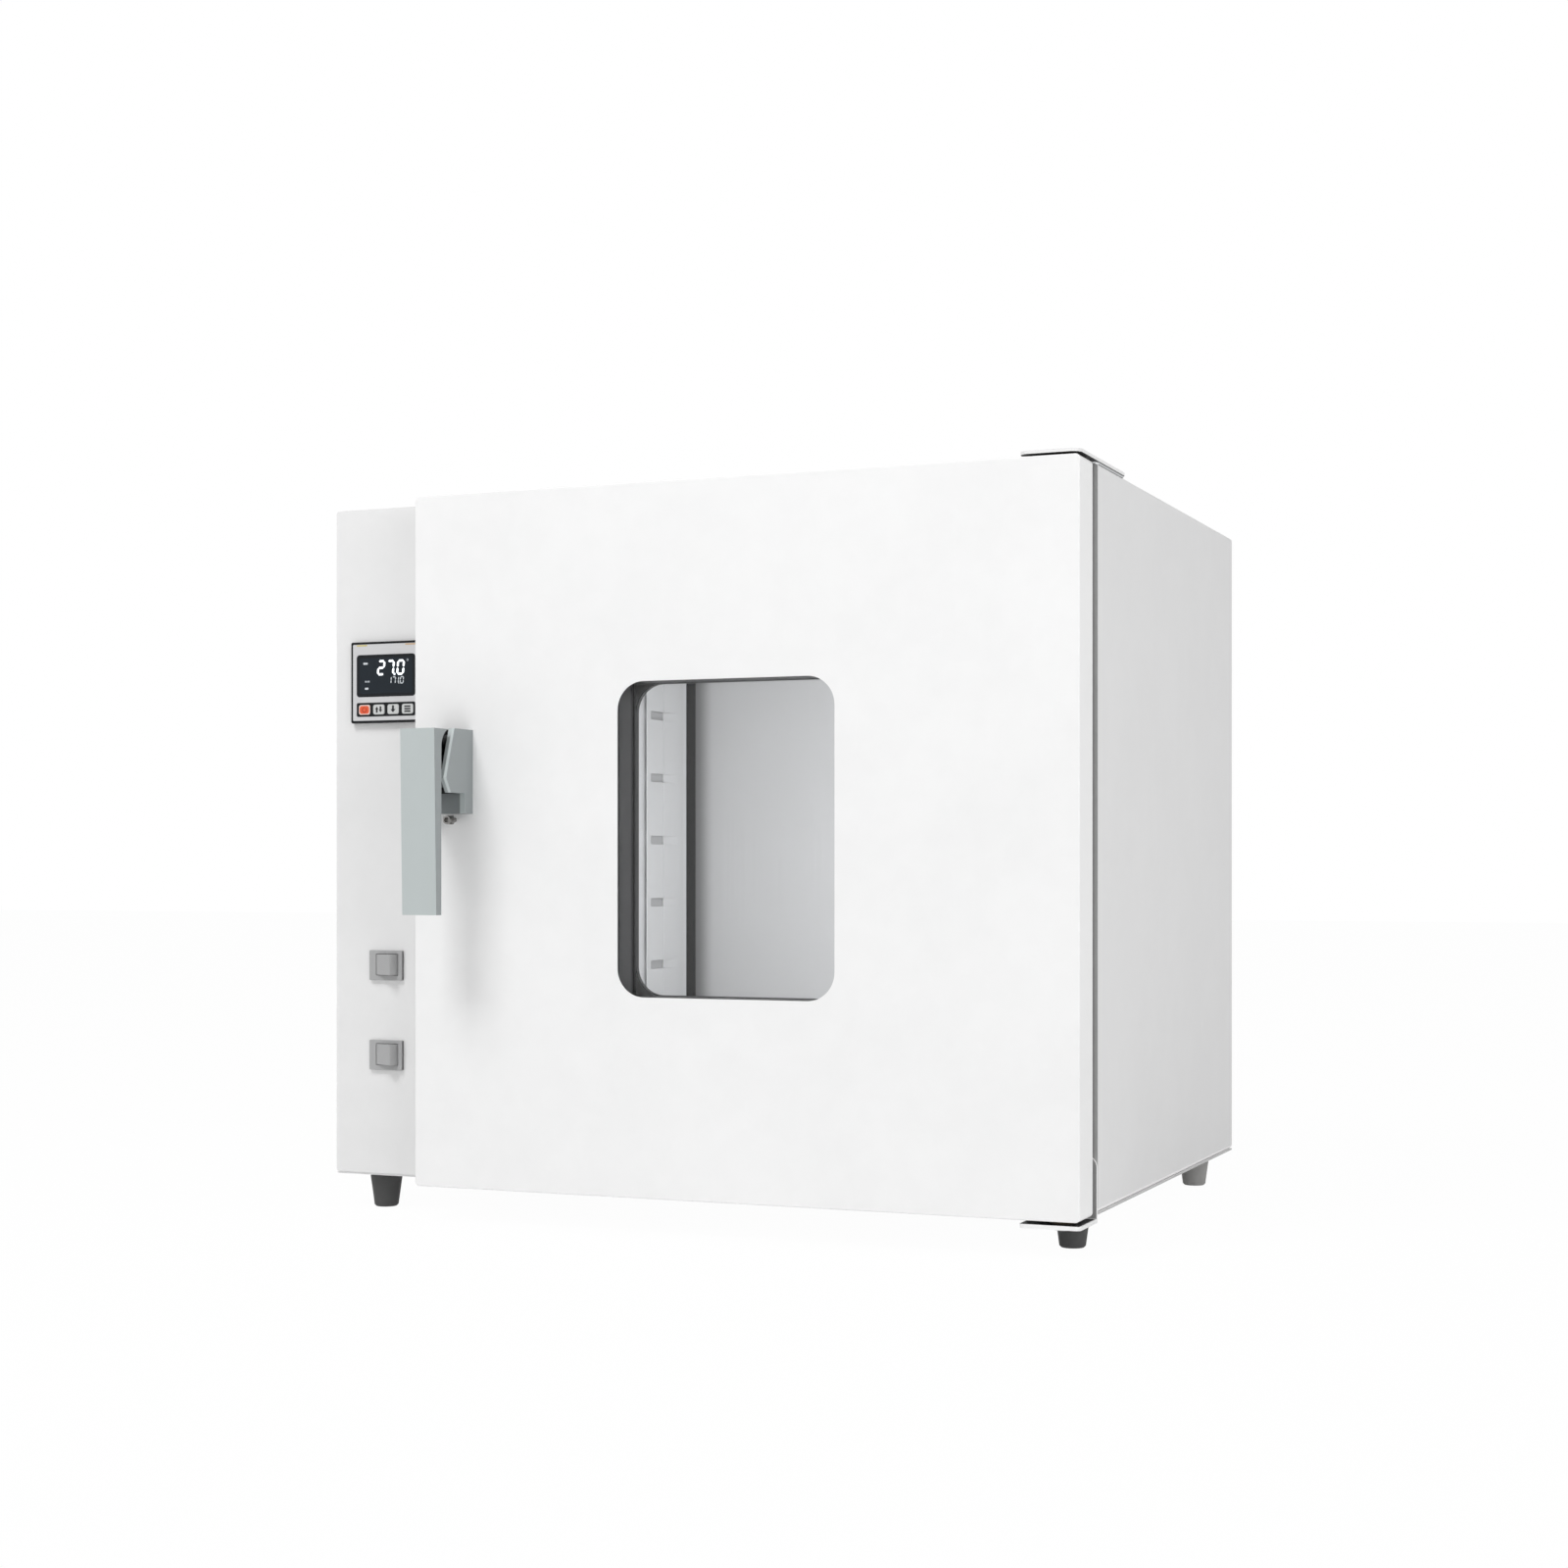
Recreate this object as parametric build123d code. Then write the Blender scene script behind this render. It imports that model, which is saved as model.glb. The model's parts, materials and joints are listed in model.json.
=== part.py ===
"""Bench drying oven with a side column, a glazed door on the right-hand hinge and a pull lever.

Millimetres, +Z up, the door faces -Y. The origin is on the bench, under the middle of the
whole object's box. Depths are counted backwards from the door's front face.
"""
from build123d import *
import os
from math import asin, cos, degrees, pi, sin, sqrt

# Cabinet
cabinet_width = 710.0
cabinet_height = 600.0
cabinet_depth = 496.0
column_width = 113.0
sheet = 1.2
bend_radius = 3.0
shell_lip = 14.0
panel_return = 12.0
pan_thickness = 1.5
foot_height = 30.0
foot_top_radius = 14.3
foot_low_radius = 10.8
foot_inset_left = 39.6
foot_inset_right = 26.5
foot_inset_front = 21.0
foot_inset_back = 48.0

# Back sheets
cover_screw = 2.0
cover_inset = 7.0
louvre_length = 70.0
louvre_height = 9.0
louvre_reach = 5.0
louvre_pitch = 20.0
louvre_count = 8
louvre_bottom = 330.0
gland_height = 70.0
gland_body = 10.0
gland_bore = 4.5
gland_flange = 14.0
gland_flange_length = 5.0
gland_inside = 14.0

# Door and what stands in front of and behind the cabinet
door_thickness = 37.2
door_gap = 14.8
door_corner = 4.0
door_edge = 1.0
door_return = 18.0
lever_reach = 62.5
gland_reach = 24.0

# Chamber
chamber_wall = 73.5
chamber_height = 450.0
liner_depth = 376.0
liner_sheet = 1.0
liner_flange = 15.0
plenum = 30.0
wool_margin = 3.0

gasket_width = 16.0
gasket_margin = 6.0

# Clearances
seat_gap = 0.3
slide_gap = 0.15
running_gap = 0.05
hole_gap = 0.3

# Window
window_width = 196.1
window_height = 264.9
window_corner = 24.0
window_offset = -4.5
window_rise = 0.75
window_collar = 4.8
pane_thickness = 3.0
pane_margin = 12.0
tunnel_sheet = 1.0
tunnel_depth = 21.0
seal_width = 9.0
inner_pane_thickness = 4.0
inner_pane_margin = 5.0
liner_plate = 1.2
liner_plate_margin = 12.0

# Hinges
hinge_width = 50.0
hinge_length = 143.0
hinge_plate = 2.6
hinge_spacer = 1.8
hinge_corner = 8.0
pivot_from_side = 19.0
pivot_from_front = 18.6
pin_radius = 4.0
bush_radius = 7.0
bush_length = 24.0
bush_flange_radius = 9.5
bracket_plate = 3.3
bracket_gap = 3.0
bracket_front = 1.0
bracket_leg = 47.0

# Handle
handle_from_edge = 39.6
lever_width = 33.0
lever_bottom = 237.0
lever_top = 394.4
lever_low_reach = 59.0
lever_low_back = 50.6
lever_back = 50.5
lever_head_back = 39.5
lever_head = 14.0
lever_curl = 1.8
base_width = 36.0
base_bottom = 323.4
base_top = 395.5
base_low_reach = 14.0
cheek = 4.8
cheek_bevel = 1.6
lug_bottom = 340.6
lug_knee = 353.0
lug_top_reach = 33.0
lug_reach = 47.0
lug_low_reach = 39.0
handle_pivot_reach = 30.0
handle_pivot_height = 385.0
handle_pin_radius = 4.0
tongue_width = 16.0
tongue_radius = 10.0
tongue_root = 1.5
tongue_rise = 5.0
tongue_drop = 26.0
stud_drop = 5.4
stud_radius = 3.6
stud_reach = 14.0
stud_head = 4.5
stud_socket = 2.2
stud_nut = 4.4
stud_nut_thickness = 3.6
stud_shank = 2.0

# Latch
roller_radius = 5.0
roller_depth = 10.0
roller_height = 372.0
roller_length = 5.6
roller_pin = 2.5
roller_collar = 3.5
collar_thickness = 0.8
roller_gap = 0.4
keeper_side_gap = 9.0
keeper_plate = 3.0
keeper_foot_width = 20.0
keeper_foot_height = 44.0
keeper_root = 17.0
keeper_throat = 8.0
keeper_throat_back = 4.0
keeper_nose = 5.0
keeper_nose_front = 7.0
hook_plate = 4.0
hook_side_gap = 2.0
hook_start = 12.0
hook_lip = 6.5
hook_bar = 9.0
hook_tip = 5.0
crank_gap = 0.5
crank_thickness = 5.0
crank_eye = 8.0
crank_end = 5.5
arm_reach = 7.0
arm_drop = 7.0
arm_size = 10.0
latch_gap = 0.4

# Controller and switches
column_centre = 54.7
controller_size = 73.0
controller_height = 443.5
bezel_thickness = 5.0
case_size = 66.0
case_depth = 80.0
display_width = 61.0
display_height = 38.0
display_rise = 5.9
strip_height = 12.6
strip_drop = 24.5
key_width = 11.7
key_height = 8.9
key_pitch = 14.9
key_travel = 0.8
display_pocket = 1.0
strip_pocket = 0.5
switch_width = 34.0
switch_height = 26.9
switch_plate = 3.0
switch_plate_offset = -1.5
switch_body_width = 28.0
switch_body_height = 22.6
switch_body_depth = 26.0
rocker_side_gap = 0.3
rocker_end_gap = 0.5
rocker_rise = 0.7
upper_switch = 189.2
lower_switch = 108.6
rocker_height = 18.5
rocker_radius = 11.2
rocker_face = 5.7
rocker_tilt = 22.0
rocker_pivot = 1.8
trunnion_radius = 1.0
trunnion_length = 1.3

# Shelves and their posts
level_first = 125.3
level_pitch = 60.93
level_count = 7
post_width = 73.3
post_rise = 4.0
post_sheet = 1.0
post_flange = 12.0
rear_post_depth = 341.7
front_post_depth = 125.0
post_seam = 1.2
seam_width = 0.9
seam_depth = 0.5
slot_height = 8.4
slot_corner = 2.0
slot_front = 7.7
slot_back = 3.4
ramp_length = 27.6
clip_front = 14.7
clip_width = 20.0
clip_reach = 7.0
clip_lip = 1.5
shelf_rod = 3.0
shelf_wire = 1.5
shelf_wires = 21
shelf_front = 85.0
shelf_back = 398.0
upper_shelf_level = 6

# Air system
fan_depth = 228.0
fan_height = 300.0
impeller_radius = 80.0
impeller_width = 22.0
impeller_plate = 1.5
impeller_ring = 20.0
impeller_hub = 11.0
impeller_gap = 3.5
blade_count = 24
blade_length = 19.0
blade_sheet = 1.2
blade_angle = 25.0
disc_radius = 36.0
disc_sheet = 2.0
disc_hub = 9.0
disc_fins = 8
disc_fin_height = 8.0
shaft_radius = 4.0
shaft_hole = 11.0
motor_radius = 42.0
motor_length = 64.0
motor_gap = 36.0
motor_plate = 3.0
motor_post_spread = 50.0
motor_post_radius = 5.0
motor_boss = 14.0
motor_boss_length = 8.0
motor_bore = 18.0
motor_seat = 120.0
heater_ring = 100.0
heater_radius = 4.0
heater_legs = 14.0
heater_leg_height = sqrt(heater_ring ** 2 - heater_legs ** 2)
baffle_end = 404.0
intake_radius = 48.0
intake_slot = 6.0
intake_pitch = 11.0
vent_depth = 330.0
vent_radius = 20.0
vent_wall = 1.5
vent_rise = 24.0
vent_flange = 14.0
vent_holes = 6
vent_hole = 3.2
vent_circle = 12.0
damper_skirt = 14.0
damper_wall = 6.0
damper_top = 2.5
damper_grip = 5.0
damper_grip_height = 10.0
probe_radius = 2.5
probe_depth = 200.0
probe_height = 511.0

# Electrical parts in the column
strip_length = 70.0
strip_depth = 22.0
strip_rise = 18.0
strip_from_back = 120.0
strip_pitch = 14.0
relay_width = 44.0
relay_depth = 22.0
sink_width = 80.0
sink_height = 80.0
sink_plate = 6.0
sink_fin = 24.0
sink_fin_sheet = 2.0
sink_pitch = 9.5
sink_from_front = 60.0

# Places worked out from the sizes above
depth_total = lever_reach + door_thickness + door_gap + cabinet_depth + gland_reach
x_left = -cabinet_width / 2
x_right = cabinet_width / 2
x_door = x_left + column_width
door_width = cabinet_width - column_width
chamber_width = door_width - 2 * chamber_wall
door_middle = x_door + door_width / 2
y_door = -depth_total / 2 + lever_reach
y_door_back = y_door + door_thickness
y_front = y_door_back + door_gap
y_back = y_front + cabinet_depth
z_base = foot_height
z_top = z_base + cabinet_height
z_middle = (z_base + z_top) / 2
z_pan = z_base + pan_thickness + seat_gap
x_chamber = door_middle - chamber_width / 2
x_chamber_right = door_middle + chamber_width / 2
x_liner = x_chamber - plenum
z_chamber = z_middle - chamber_height / 2
z_chamber_top = z_middle + chamber_height / 2
y_liner_back = y_front + liner_depth
window_middle = door_middle + window_offset
z_window = z_middle + window_rise
x_pivot = x_right - pivot_from_side
y_pivot = y_door + pivot_from_front
x_handle = x_door + handle_from_edge
x_controls = x_left + column_centre
x_keeper = x_door - keeper_side_gap
y_fan = y_door + fan_depth
z_fan = z_base + fan_height
x_vent = door_middle
y_vent = y_door + vent_depth
y_pane = y_door + sheet
y_tunnel = y_pane + pane_thickness
y_seal = y_tunnel + tunnel_sheet + tunnel_depth
y_bezel = y_front - bezel_thickness
z_controller = z_base + controller_height


def block(x0, x1, y0, y1, z0, z1):
    """A block between two opposite corners."""
    return Pos((x0 + x1) / 2, (y0 + y1) / 2, (z0 + z1) / 2) * Box(x1 - x0, y1 - y0, z1 - z0)


def slab(x, z, width, height, y0, y1, corner=0.0):
    """A plate that faces the front, centred on x and z, between two depths."""
    outline = RectangleRounded(width, height, corner) if corner else Rectangle(width, height)
    return extrude(Plane(origin=(x, y1, z), x_dir=(1, 0, 0), z_dir=(0, -1, 0)) * outline, amount=y1 - y0)


def ring(x, z, width, height, rim, y0, y1, corner=0.0):
    """A frame that faces the front: its opening is width by height, its bars are rim wide."""
    outside = corner + rim if corner else 0.0
    outer = slab(x, z, width + 2 * rim, height + 2 * rim, y0, y1, outside)
    return outer - slab(x, z, width, height, y0 - 1, y1 + 1, corner)


def flat(x0, x1, y0, y1, z0, z1, corner):
    """A level plate between two heights, with rounded corners."""
    outline = RectangleRounded(x1 - x0, y1 - y0, corner)
    return extrude(Pos((x0 + x1) / 2, (y0 + y1) / 2, z0) * outline, amount=z1 - z0)


def rod_x(x0, x1, y, z, radius):
    """A round bar across the object."""
    return extrude(Plane(origin=(x0, y, z), x_dir=(0, 1, 0), z_dir=(1, 0, 0)) * Circle(radius), amount=x1 - x0)


def rod_y(x, y0, y1, z, radius):
    """A round bar from front to back."""
    return extrude(Plane(origin=(x, y1, z), x_dir=(1, 0, 0), z_dir=(0, -1, 0)) * Circle(radius), amount=y1 - y0)


def rod_z(x, y, z0, z1, radius):
    """An upright round bar."""
    return extrude(Pos(x, y, z0) * Circle(radius), amount=z1 - z0)


def side_cut(x0, x1, outline):
    """A plate parallel to the side walls, from an outline drawn in depth and height."""
    return extrude(Plane(origin=(x0, 0, 0), x_dir=(0, 1, 0), z_dir=(1, 0, 0)) * outline, amount=x1 - x0)


def turned(points):
    """A turned piece about the Z axis, from its half profile of radius and height."""
    return revolve(Plane.XZ * make_face(Polyline(*points, close=True)), Axis.Z)


def aligned_x(shape, x, y, z):
    """Turns a piece made about Z to lie along X, with its foot at a point."""
    return Plane(origin=(x, y, z), x_dir=(0, 1, 0), z_dir=(1, 0, 0)) * shape


def outer_shell():
    """Roof and side walls, folded from one sheet, with a lip along each lower edge."""
    height = z_top - z_pan
    middle = (z_top + z_pan) / 2
    y0 = y_front + sheet
    y1 = y_back - sheet
    wrap = slab(0, middle, cabinet_width, height, y0, y1, bend_radius)
    wrap -= slab(0, middle, cabinet_width - 2 * sheet, height - 2 * sheet, y0 - 1, y1 + 1, bend_radius - sheet)
    wrap += ring(0, middle, cabinet_width - 2 * shell_lip, height - 2 * shell_lip, shell_lip - sheet / 2,
                 y1 - sheet, y1, bend_radius)
    wrap -= block(x_left + shell_lip, x_right - shell_lip, y0 - 1, y1 + 1, z_pan - 1, z_pan + shell_lip)
    return wrap - rod_z(x_vent, y_vent, z_top - 2 * sheet, z_top + 1, vent_radius + hole_gap)


def base_pan():
    """Floor sheet with cooling slots under the column."""
    pan = block(x_left, x_right, y_front + sheet, y_back - sheet, z_base, z_base + pan_thickness)
    slot_length = column_width / 2
    for row in range(5):
        y = y_front + cabinet_depth / 2 + (row - 2) * 22.0
        pan -= block(x_controls - slot_length / 2, x_controls + slot_length / 2, y, y + 5, z_base - 1, z_base + 5)
    return pan


def front_pan(x0, x1):
    """A front sheet between two places, folded back along its whole edge."""
    x = (x0 + x1) / 2
    height = z_top - z_pan
    middle = (z_top + z_pan) / 2
    face = slab(x, middle, x1 - x0, height, y_front, y_front + sheet, bend_radius)
    inset = 2 * (sheet + seat_gap)
    inner = ring(x, middle, x1 - x0 - inset - 2 * sheet, height - inset - 2 * sheet, sheet,
                 y_front + sheet, y_front + sheet + panel_return, bend_radius - sheet)
    return face + inner


def front_frame():
    """Front sheet round the chamber's mouth, behind the door."""
    pan = front_pan(x_door + seat_gap, x_right)
    width = x_chamber_right - x_liner
    return pan - slab((x_liner + x_chamber_right) / 2, z_middle, width, chamber_height,
                      y_front - 1, y_front + 2 * sheet)


def control_panel():
    """Front sheet of the column, with the cut-outs for the controller and the switches."""
    pan = front_pan(x_left, x_door)
    cut = case_size + 2 * seat_gap
    pan -= slab(x_controls, z_base + controller_height, cut, cut, y_front - 1, y_front + 2 * sheet)
    for height in (upper_switch, lower_switch):
        pan -= slab(x_controls, z_base + height, switch_body_width + 2 * seat_gap,
                    switch_body_height + 2 * seat_gap, y_front - 1, y_front + 2 * sheet)
    return pan


def wall_holes(x0, x1, gap):
    """What passes through the chamber's left wall: fan shaft, heater legs and probe."""
    holes = rod_x(x0, x1, y_fan, z_fan, shaft_hole)
    for side in (-1, 1):
        holes += rod_x(x0, x1, y_fan + side * heater_legs, z_fan + heater_leg_height, heater_radius + gap)
    return holes + rod_x(x0, x1, y_door + probe_depth, z_base + probe_height, probe_radius + gap)


def chamber_liner():
    """Five-sided inner box of thin stainless sheet, with a flange behind the front frame."""
    t = liner_sheet
    mouth = y_front + sheet
    box = block(x_liner - t, x_chamber_right + t, mouth, y_liner_back + t, z_chamber - t, z_chamber_top + t)
    box -= block(x_liner, x_chamber_right, mouth - 1, y_liner_back, z_chamber, z_chamber_top)
    box += ring((x_liner + x_chamber_right) / 2, z_middle, x_chamber_right - x_liner, chamber_height,
                liner_flange, mouth, mouth + t)
    box -= wall_holes(x_liner - 2 * t, x_liner + t, hole_gap)
    return box - rod_z(x_vent, y_vent, z_chamber_top - t, z_chamber_top + 2 * t, vent_radius - vent_wall)


def insulation():
    """Mineral wool between the shell and the liner."""
    t = liner_sheet + seat_gap
    front = y_front + sheet + panel_return + seat_gap
    wool = block(x_door + seat_gap, x_right - sheet - wool_margin, front, y_back - 2 * sheet - seat_gap,
                 z_pan + sheet + seat_gap, z_top - sheet - wool_margin)
    wool -= block(x_liner - t, x_chamber_right + t, front - 1, y_liner_back + t, z_chamber - t, z_chamber_top + t)
    wool -= wall_holes(x_door - 1, x_liner, hole_gap)
    return wool - rod_z(x_vent, y_vent, z_chamber_top, z_top, vent_radius + hole_gap)


def partition():
    """Sheet between the column and the wool."""
    front = y_front + sheet + panel_return + seat_gap
    z0 = z_pan + sheet + seat_gap
    z1 = z_top - shell_lip - seat_gap
    wall = block(x_door - sheet, x_door, front, y_back - sheet, z0, z1)
    wall += block(x_door - shell_lip, x_door, y_back - 2 * sheet, y_back - sheet, z0, z1)
    return wall - wall_holes(x_door - 2 * sheet, x_door + 1, hole_gap)


def rear_panel():
    """Back sheet behind the chamber."""
    return slab((x_door + x_right) / 2, (z_pan + z_top) / 2, x_right - x_door - seat_gap, z_top - z_pan,
                y_back - sheet, y_back, bend_radius)


def rear_cover():
    """Back sheet of the column, with pressed louvres and the cable gland's hole."""
    cover = slab((x_left + x_door) / 2, (z_pan + z_top) / 2, column_width, z_top - z_pan,
                 y_back - sheet, y_back, bend_radius)
    inside = y_back - 2 * sheet
    for row in range(louvre_count):
        z = z_base + louvre_bottom + row * louvre_pitch
        hood = Polyline((y_back - sheet, z), (y_back + louvre_reach, z),
                        (y_back, z + louvre_height), (y_back - sheet, z + louvre_height), close=True)
        crest = z + louvre_height - sheet
        throat = Polyline((inside, z - 1), (y_back + louvre_reach - sheet, z - 1), (y_back - sheet, crest),
                          (inside, crest), close=True)
        x0 = x_controls - louvre_length / 2
        x1 = x_controls + louvre_length / 2
        cover += side_cut(x0, x1, make_face(hood))
        cover -= side_cut(x0 + sheet, x1 - sheet, make_face(throat))
    return cover - rod_y(x_controls, y_back - 2 * sheet, y_back + 1, z_base + gland_height, gland_body + hole_gap)


def cable_gland():
    """Gland for the mains lead, with its locknut inside the cover."""
    z = z_base + gland_height
    body = rod_y(x_controls, y_back - sheet - gland_inside, y_back + gland_reach, z, gland_body)
    nut = Plane(origin=(x_controls, y_back, z), x_dir=(1, 0, 0), z_dir=(0, 1, 0)) * RegularPolygon(gland_flange, 6)
    body += extrude(nut, amount=gland_flange_length)
    locknut = Plane(origin=(x_controls, y_back - sheet, z), x_dir=(1, 0, 0), z_dir=(0, -1, 0))
    body += extrude(locknut * RegularPolygon(gland_flange, 6), amount=gland_flange_length)
    dome = rod_y(x_controls, y_back + gland_flange_length, y_back + gland_reach, z, gland_flange - 2)
    body += fillet(dome.edges().sort_by(Axis.Y)[-1], 5)
    return body - rod_y(x_controls, y_back - sheet - gland_inside - 1, y_back + gland_reach + 1, z, gland_bore)


def screw_y(x, y, z, radius, length, facing):
    """A pan-head screw along the depth: facing is -1 for a head in front, 1 for one behind."""
    head = 2.2
    profile = [(0, -length), (radius, -length), (radius, 0), (2 * radius, 0), (1.6 * radius, head), (0, head)]
    return Plane(origin=(x, y, z), x_dir=(1, 0, 0), z_dir=(0, facing, 0)) * turned(profile)


def cover_screw_places():
    """Where the column's back cover and the back panel are screwed to the folded edges."""
    places = []
    for z in (z_pan + 40, z_middle, z_top - 40):
        places += [(x_left + cover_inset, z), (x_door - cover_inset, z), (x_right - cover_inset, z)]
    return places


def cover_screws():
    """The screws of both back sheets, as one group."""
    return Compound(children=[screw_y(x, y_back, z, cover_screw, 2 * sheet, 1) for x, z in cover_screw_places()])


def drilled(panel):
    """A sheet with the holes of the back's screws."""
    for x, z in cover_screw_places():
        panel -= rod_y(x, y_back - 4 * sheet, y_back + 1, z, cover_screw + slide_gap)
    return panel


def foot(x, y):
    """Tapered rubber foot, hollowed a little underneath."""
    top = foot_top_radius
    low = foot_low_radius
    profile = [(0, foot_height), (top, foot_height), (top, foot_height - 3), (low, 1.5), (low - 1.5, 0),
               (low - 4, 0), (low - 4, 3), (0, 3)]
    return Pos(x, y, 0) * turned(profile)


def feet(y):
    """The pair of feet at one depth."""
    return Compound(children=[foot(x_left + foot_inset_left, y), foot(x_right - foot_inset_right, y)])


def air_baffle():
    """Wall between the chamber and the fan space, with an intake grille and bent edges."""
    gap = seat_gap
    z0 = z_chamber + gap
    z1 = z_chamber_top - gap
    y0 = y_front + sheet + liner_sheet + 4
    y1 = y_door + baffle_end
    edge = 10.0
    wall = block(x_chamber - sheet, x_chamber, y0, y1, z0, z1)
    wall += block(x_liner + gap, x_chamber, y0, y0 + sheet, z0, z1)
    wall += block(x_chamber - edge, x_chamber, y1 - sheet, y1, z0, z1)
    count = int(intake_radius / intake_pitch)
    for row in range(-count, count + 1):
        half = sqrt(intake_radius ** 2 - (row * intake_pitch) ** 2)
        z = z_fan + row * intake_pitch
        slot = RectangleRounded(2 * half, intake_slot, intake_slot / 2 - 0.01)
        wall -= side_cut(x_chamber - 2 * sheet, x_chamber + 1, Pos(y_fan, z) * slot)
    return wall - rod_x(x_chamber - 2 * sheet, x_chamber + 1, y_door + probe_depth, z_base + probe_height,
                        probe_radius + hole_gap)


def post_piece(x_wall, into, points, z0, z1):
    """A piece of a shelf post, from an outline in depth and distance from its wall."""
    outline = Polyline(*[(-into * along, rise) for along, rise in points], close=True)
    plane = Plane(origin=(x_wall, 0, z0), x_dir=(0, -into, 0), z_dir=(0, 0, 1))
    return extrude(plane * make_face(outline), amount=z1 - z0)


def rack_post(x_wall, into, depth):
    """Shelf post on a wall: a sheet that stands off it, open in front and folded back behind.

    Each level has a slot with a ramp pressed from the sheet, and two levels have a shelf clip.
    """
    y = y_door + depth
    z0 = z_chamber + seat_gap
    z1 = z_chamber_top - seat_gap
    half = post_width / 2
    inside = post_rise - post_sheet
    foot = half + post_rise
    post = post_piece(x_wall, into, [
        (y - half, inside), (y + half - 0.3, inside), (y + foot - post_sheet, 0), (y + foot + post_flange, 0),
        (y + foot + post_flange, post_sheet), (y + foot, post_sheet), (y + half, post_rise),
        (y - half, post_rise)], z0, z1)
    seam0 = y + post_seam - seam_width / 2
    seam1 = seam0 + seam_width
    groove = [(seam0, post_rise - seam_depth), (seam1, post_rise - seam_depth), (seam1, post_rise + 1),
              (seam0, post_rise + 1)]
    post -= post_piece(x_wall, into, groove, z0 - 1, z1 + 1)
    slot0 = y - half + slot_front
    slot1 = y + half - slot_back
    x0, x1 = sorted((x_wall + into * (inside - 1), x_wall + into * (post_rise + 1)))
    ramp0 = slot1 - ramp_length
    ramp = [(ramp0, seat_gap), (slot1, inside), (slot1 + 1, inside), (slot1 + 1, post_rise),
            (slot1, post_rise), (ramp0, seat_gap + post_sheet)]
    for level in range(level_count):
        z = z_base + level_first + level * level_pitch
        middle = Pos((slot0 + slot1) / 2, z - slot_height / 2)
        post -= side_cut(x0, x1, middle * RectangleRounded(slot1 - slot0, slot_height, slot_corner))
        post += post_piece(x_wall, into, ramp, z - slot_height, z)
        if level in (0, upper_shelf_level):
            post += shelf_clip(x_wall, into, y - half + clip_front, z)
    return post


def shelf_clip(x_wall, into, y0, z):
    """Clip in a post's slot that carries a shelf."""
    inside = post_rise - post_sheet
    low = z - slot_height
    profile = [(inside, z + 1), (post_rise, z + 1), (post_rise, z), (post_rise + clip_reach, z),
               (post_rise + clip_reach, z - clip_lip), (post_rise, low), (post_rise, low - 1), (inside, low - 1)]
    outline = Polyline(*[(x_wall + into * rise, height) for rise, height in profile], close=True)
    plane = Plane(origin=(0, y0 + clip_width, 0), x_dir=(1, 0, 0), z_dir=(0, -1, 0))
    return extrude(plane * make_face(outline), amount=clip_width)


def rack_posts(x_wall, into):
    """The front and rear posts of one side wall."""
    return Compound(children=[rack_post(x_wall, into, front_post_depth), rack_post(x_wall, into, rear_post_depth)])


def wire_shelf(level):
    """Wire shelf: a rod frame, two cross rods and a row of wires."""
    z = z_base + level_first + level * level_pitch + shelf_rod
    half = chamber_width / 2 - post_rise - 1.0 - shelf_rod
    y0 = y_door + shelf_front + shelf_rod
    y1 = y_door + shelf_back - shelf_rod
    corner = 12.0
    loop = Pos(door_middle, (y0 + y1) / 2, z) * RectangleRounded(2 * half, y1 - y0, corner)
    path = loop.face().outer_wire()
    start = path @ 0
    shelf = sweep(Plane(origin=start, z_dir=path % 0) * Circle(shelf_rod), path=path)
    for share in (1 / 3, 2 / 3):
        shelf += rod_x(door_middle - half, door_middle + half, y0 + share * (y1 - y0), z - 0.5, shelf_rod - 1)
    step = 2 * half / (shelf_wires + 1)
    for number in range(1, shelf_wires + 1):
        shelf += rod_y(door_middle - half + number * step, y0, y1, z + shelf_wire, shelf_wire)
    return shelf


def heating_element():
    """Sheathed heater: an open ring round the fan wheel and two legs into the column."""
    x_ring = x_liner + 14.5
    x_end = x_door - sheet - 14.0
    opening = degrees(asin(heater_legs / heater_ring))
    plane = Plane(origin=(x_ring, y_fan, z_fan), x_dir=(0, 1, 0), z_dir=(1, 0, 0))
    arc = plane * CenterArc((0, 0), heater_ring, 90 + opening, 360 - 2 * opening)
    heater = sweep(Plane(origin=arc @ 0, z_dir=arc % 0) * Circle(heater_radius), path=arc)
    for end in (arc @ 0, arc @ 1):
        heater += Pos(*end) * Sphere(heater_radius)
        heater += rod_x(x_end, end.X, end.Y, end.Z, heater_radius)
    return heater


def fan_motor():
    """Motor can with an end boss and a blind bore for its shaft."""
    x1 = x_door - sheet - motor_gap
    x0 = x1 - motor_length
    can = rod_x(x0, x1, y_fan, z_fan, motor_radius)
    can = fillet(can.edges().sort_by(Axis.X)[0], 8)
    can += rod_x(x1, x1 + motor_boss_length, y_fan, z_fan, motor_boss)
    x_bore = x1 + motor_boss_length + 1
    return can - rod_x(x1 - motor_boss_length - motor_bore, x_bore, y_fan, z_fan, shaft_radius + running_gap)


def motor_bracket():
    """Plate that carries the motor on four posts from the partition."""
    x1 = x_door - sheet
    x0 = x1 - motor_gap
    plate = side_cut(x0, x0 + motor_plate, Pos(y_fan, z_fan) * RectangleRounded(motor_seat, motor_seat, 10))
    plate -= rod_x(x0 - 1, x0 + motor_plate + 1, y_fan, z_fan, motor_boss + slide_gap)
    for across in (-1, 1):
        for up in (-1, 1):
            plate += rod_x(x0, x1, y_fan + across * motor_post_spread, z_fan + up * motor_post_spread,
                           motor_post_radius)
    return plate


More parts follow.
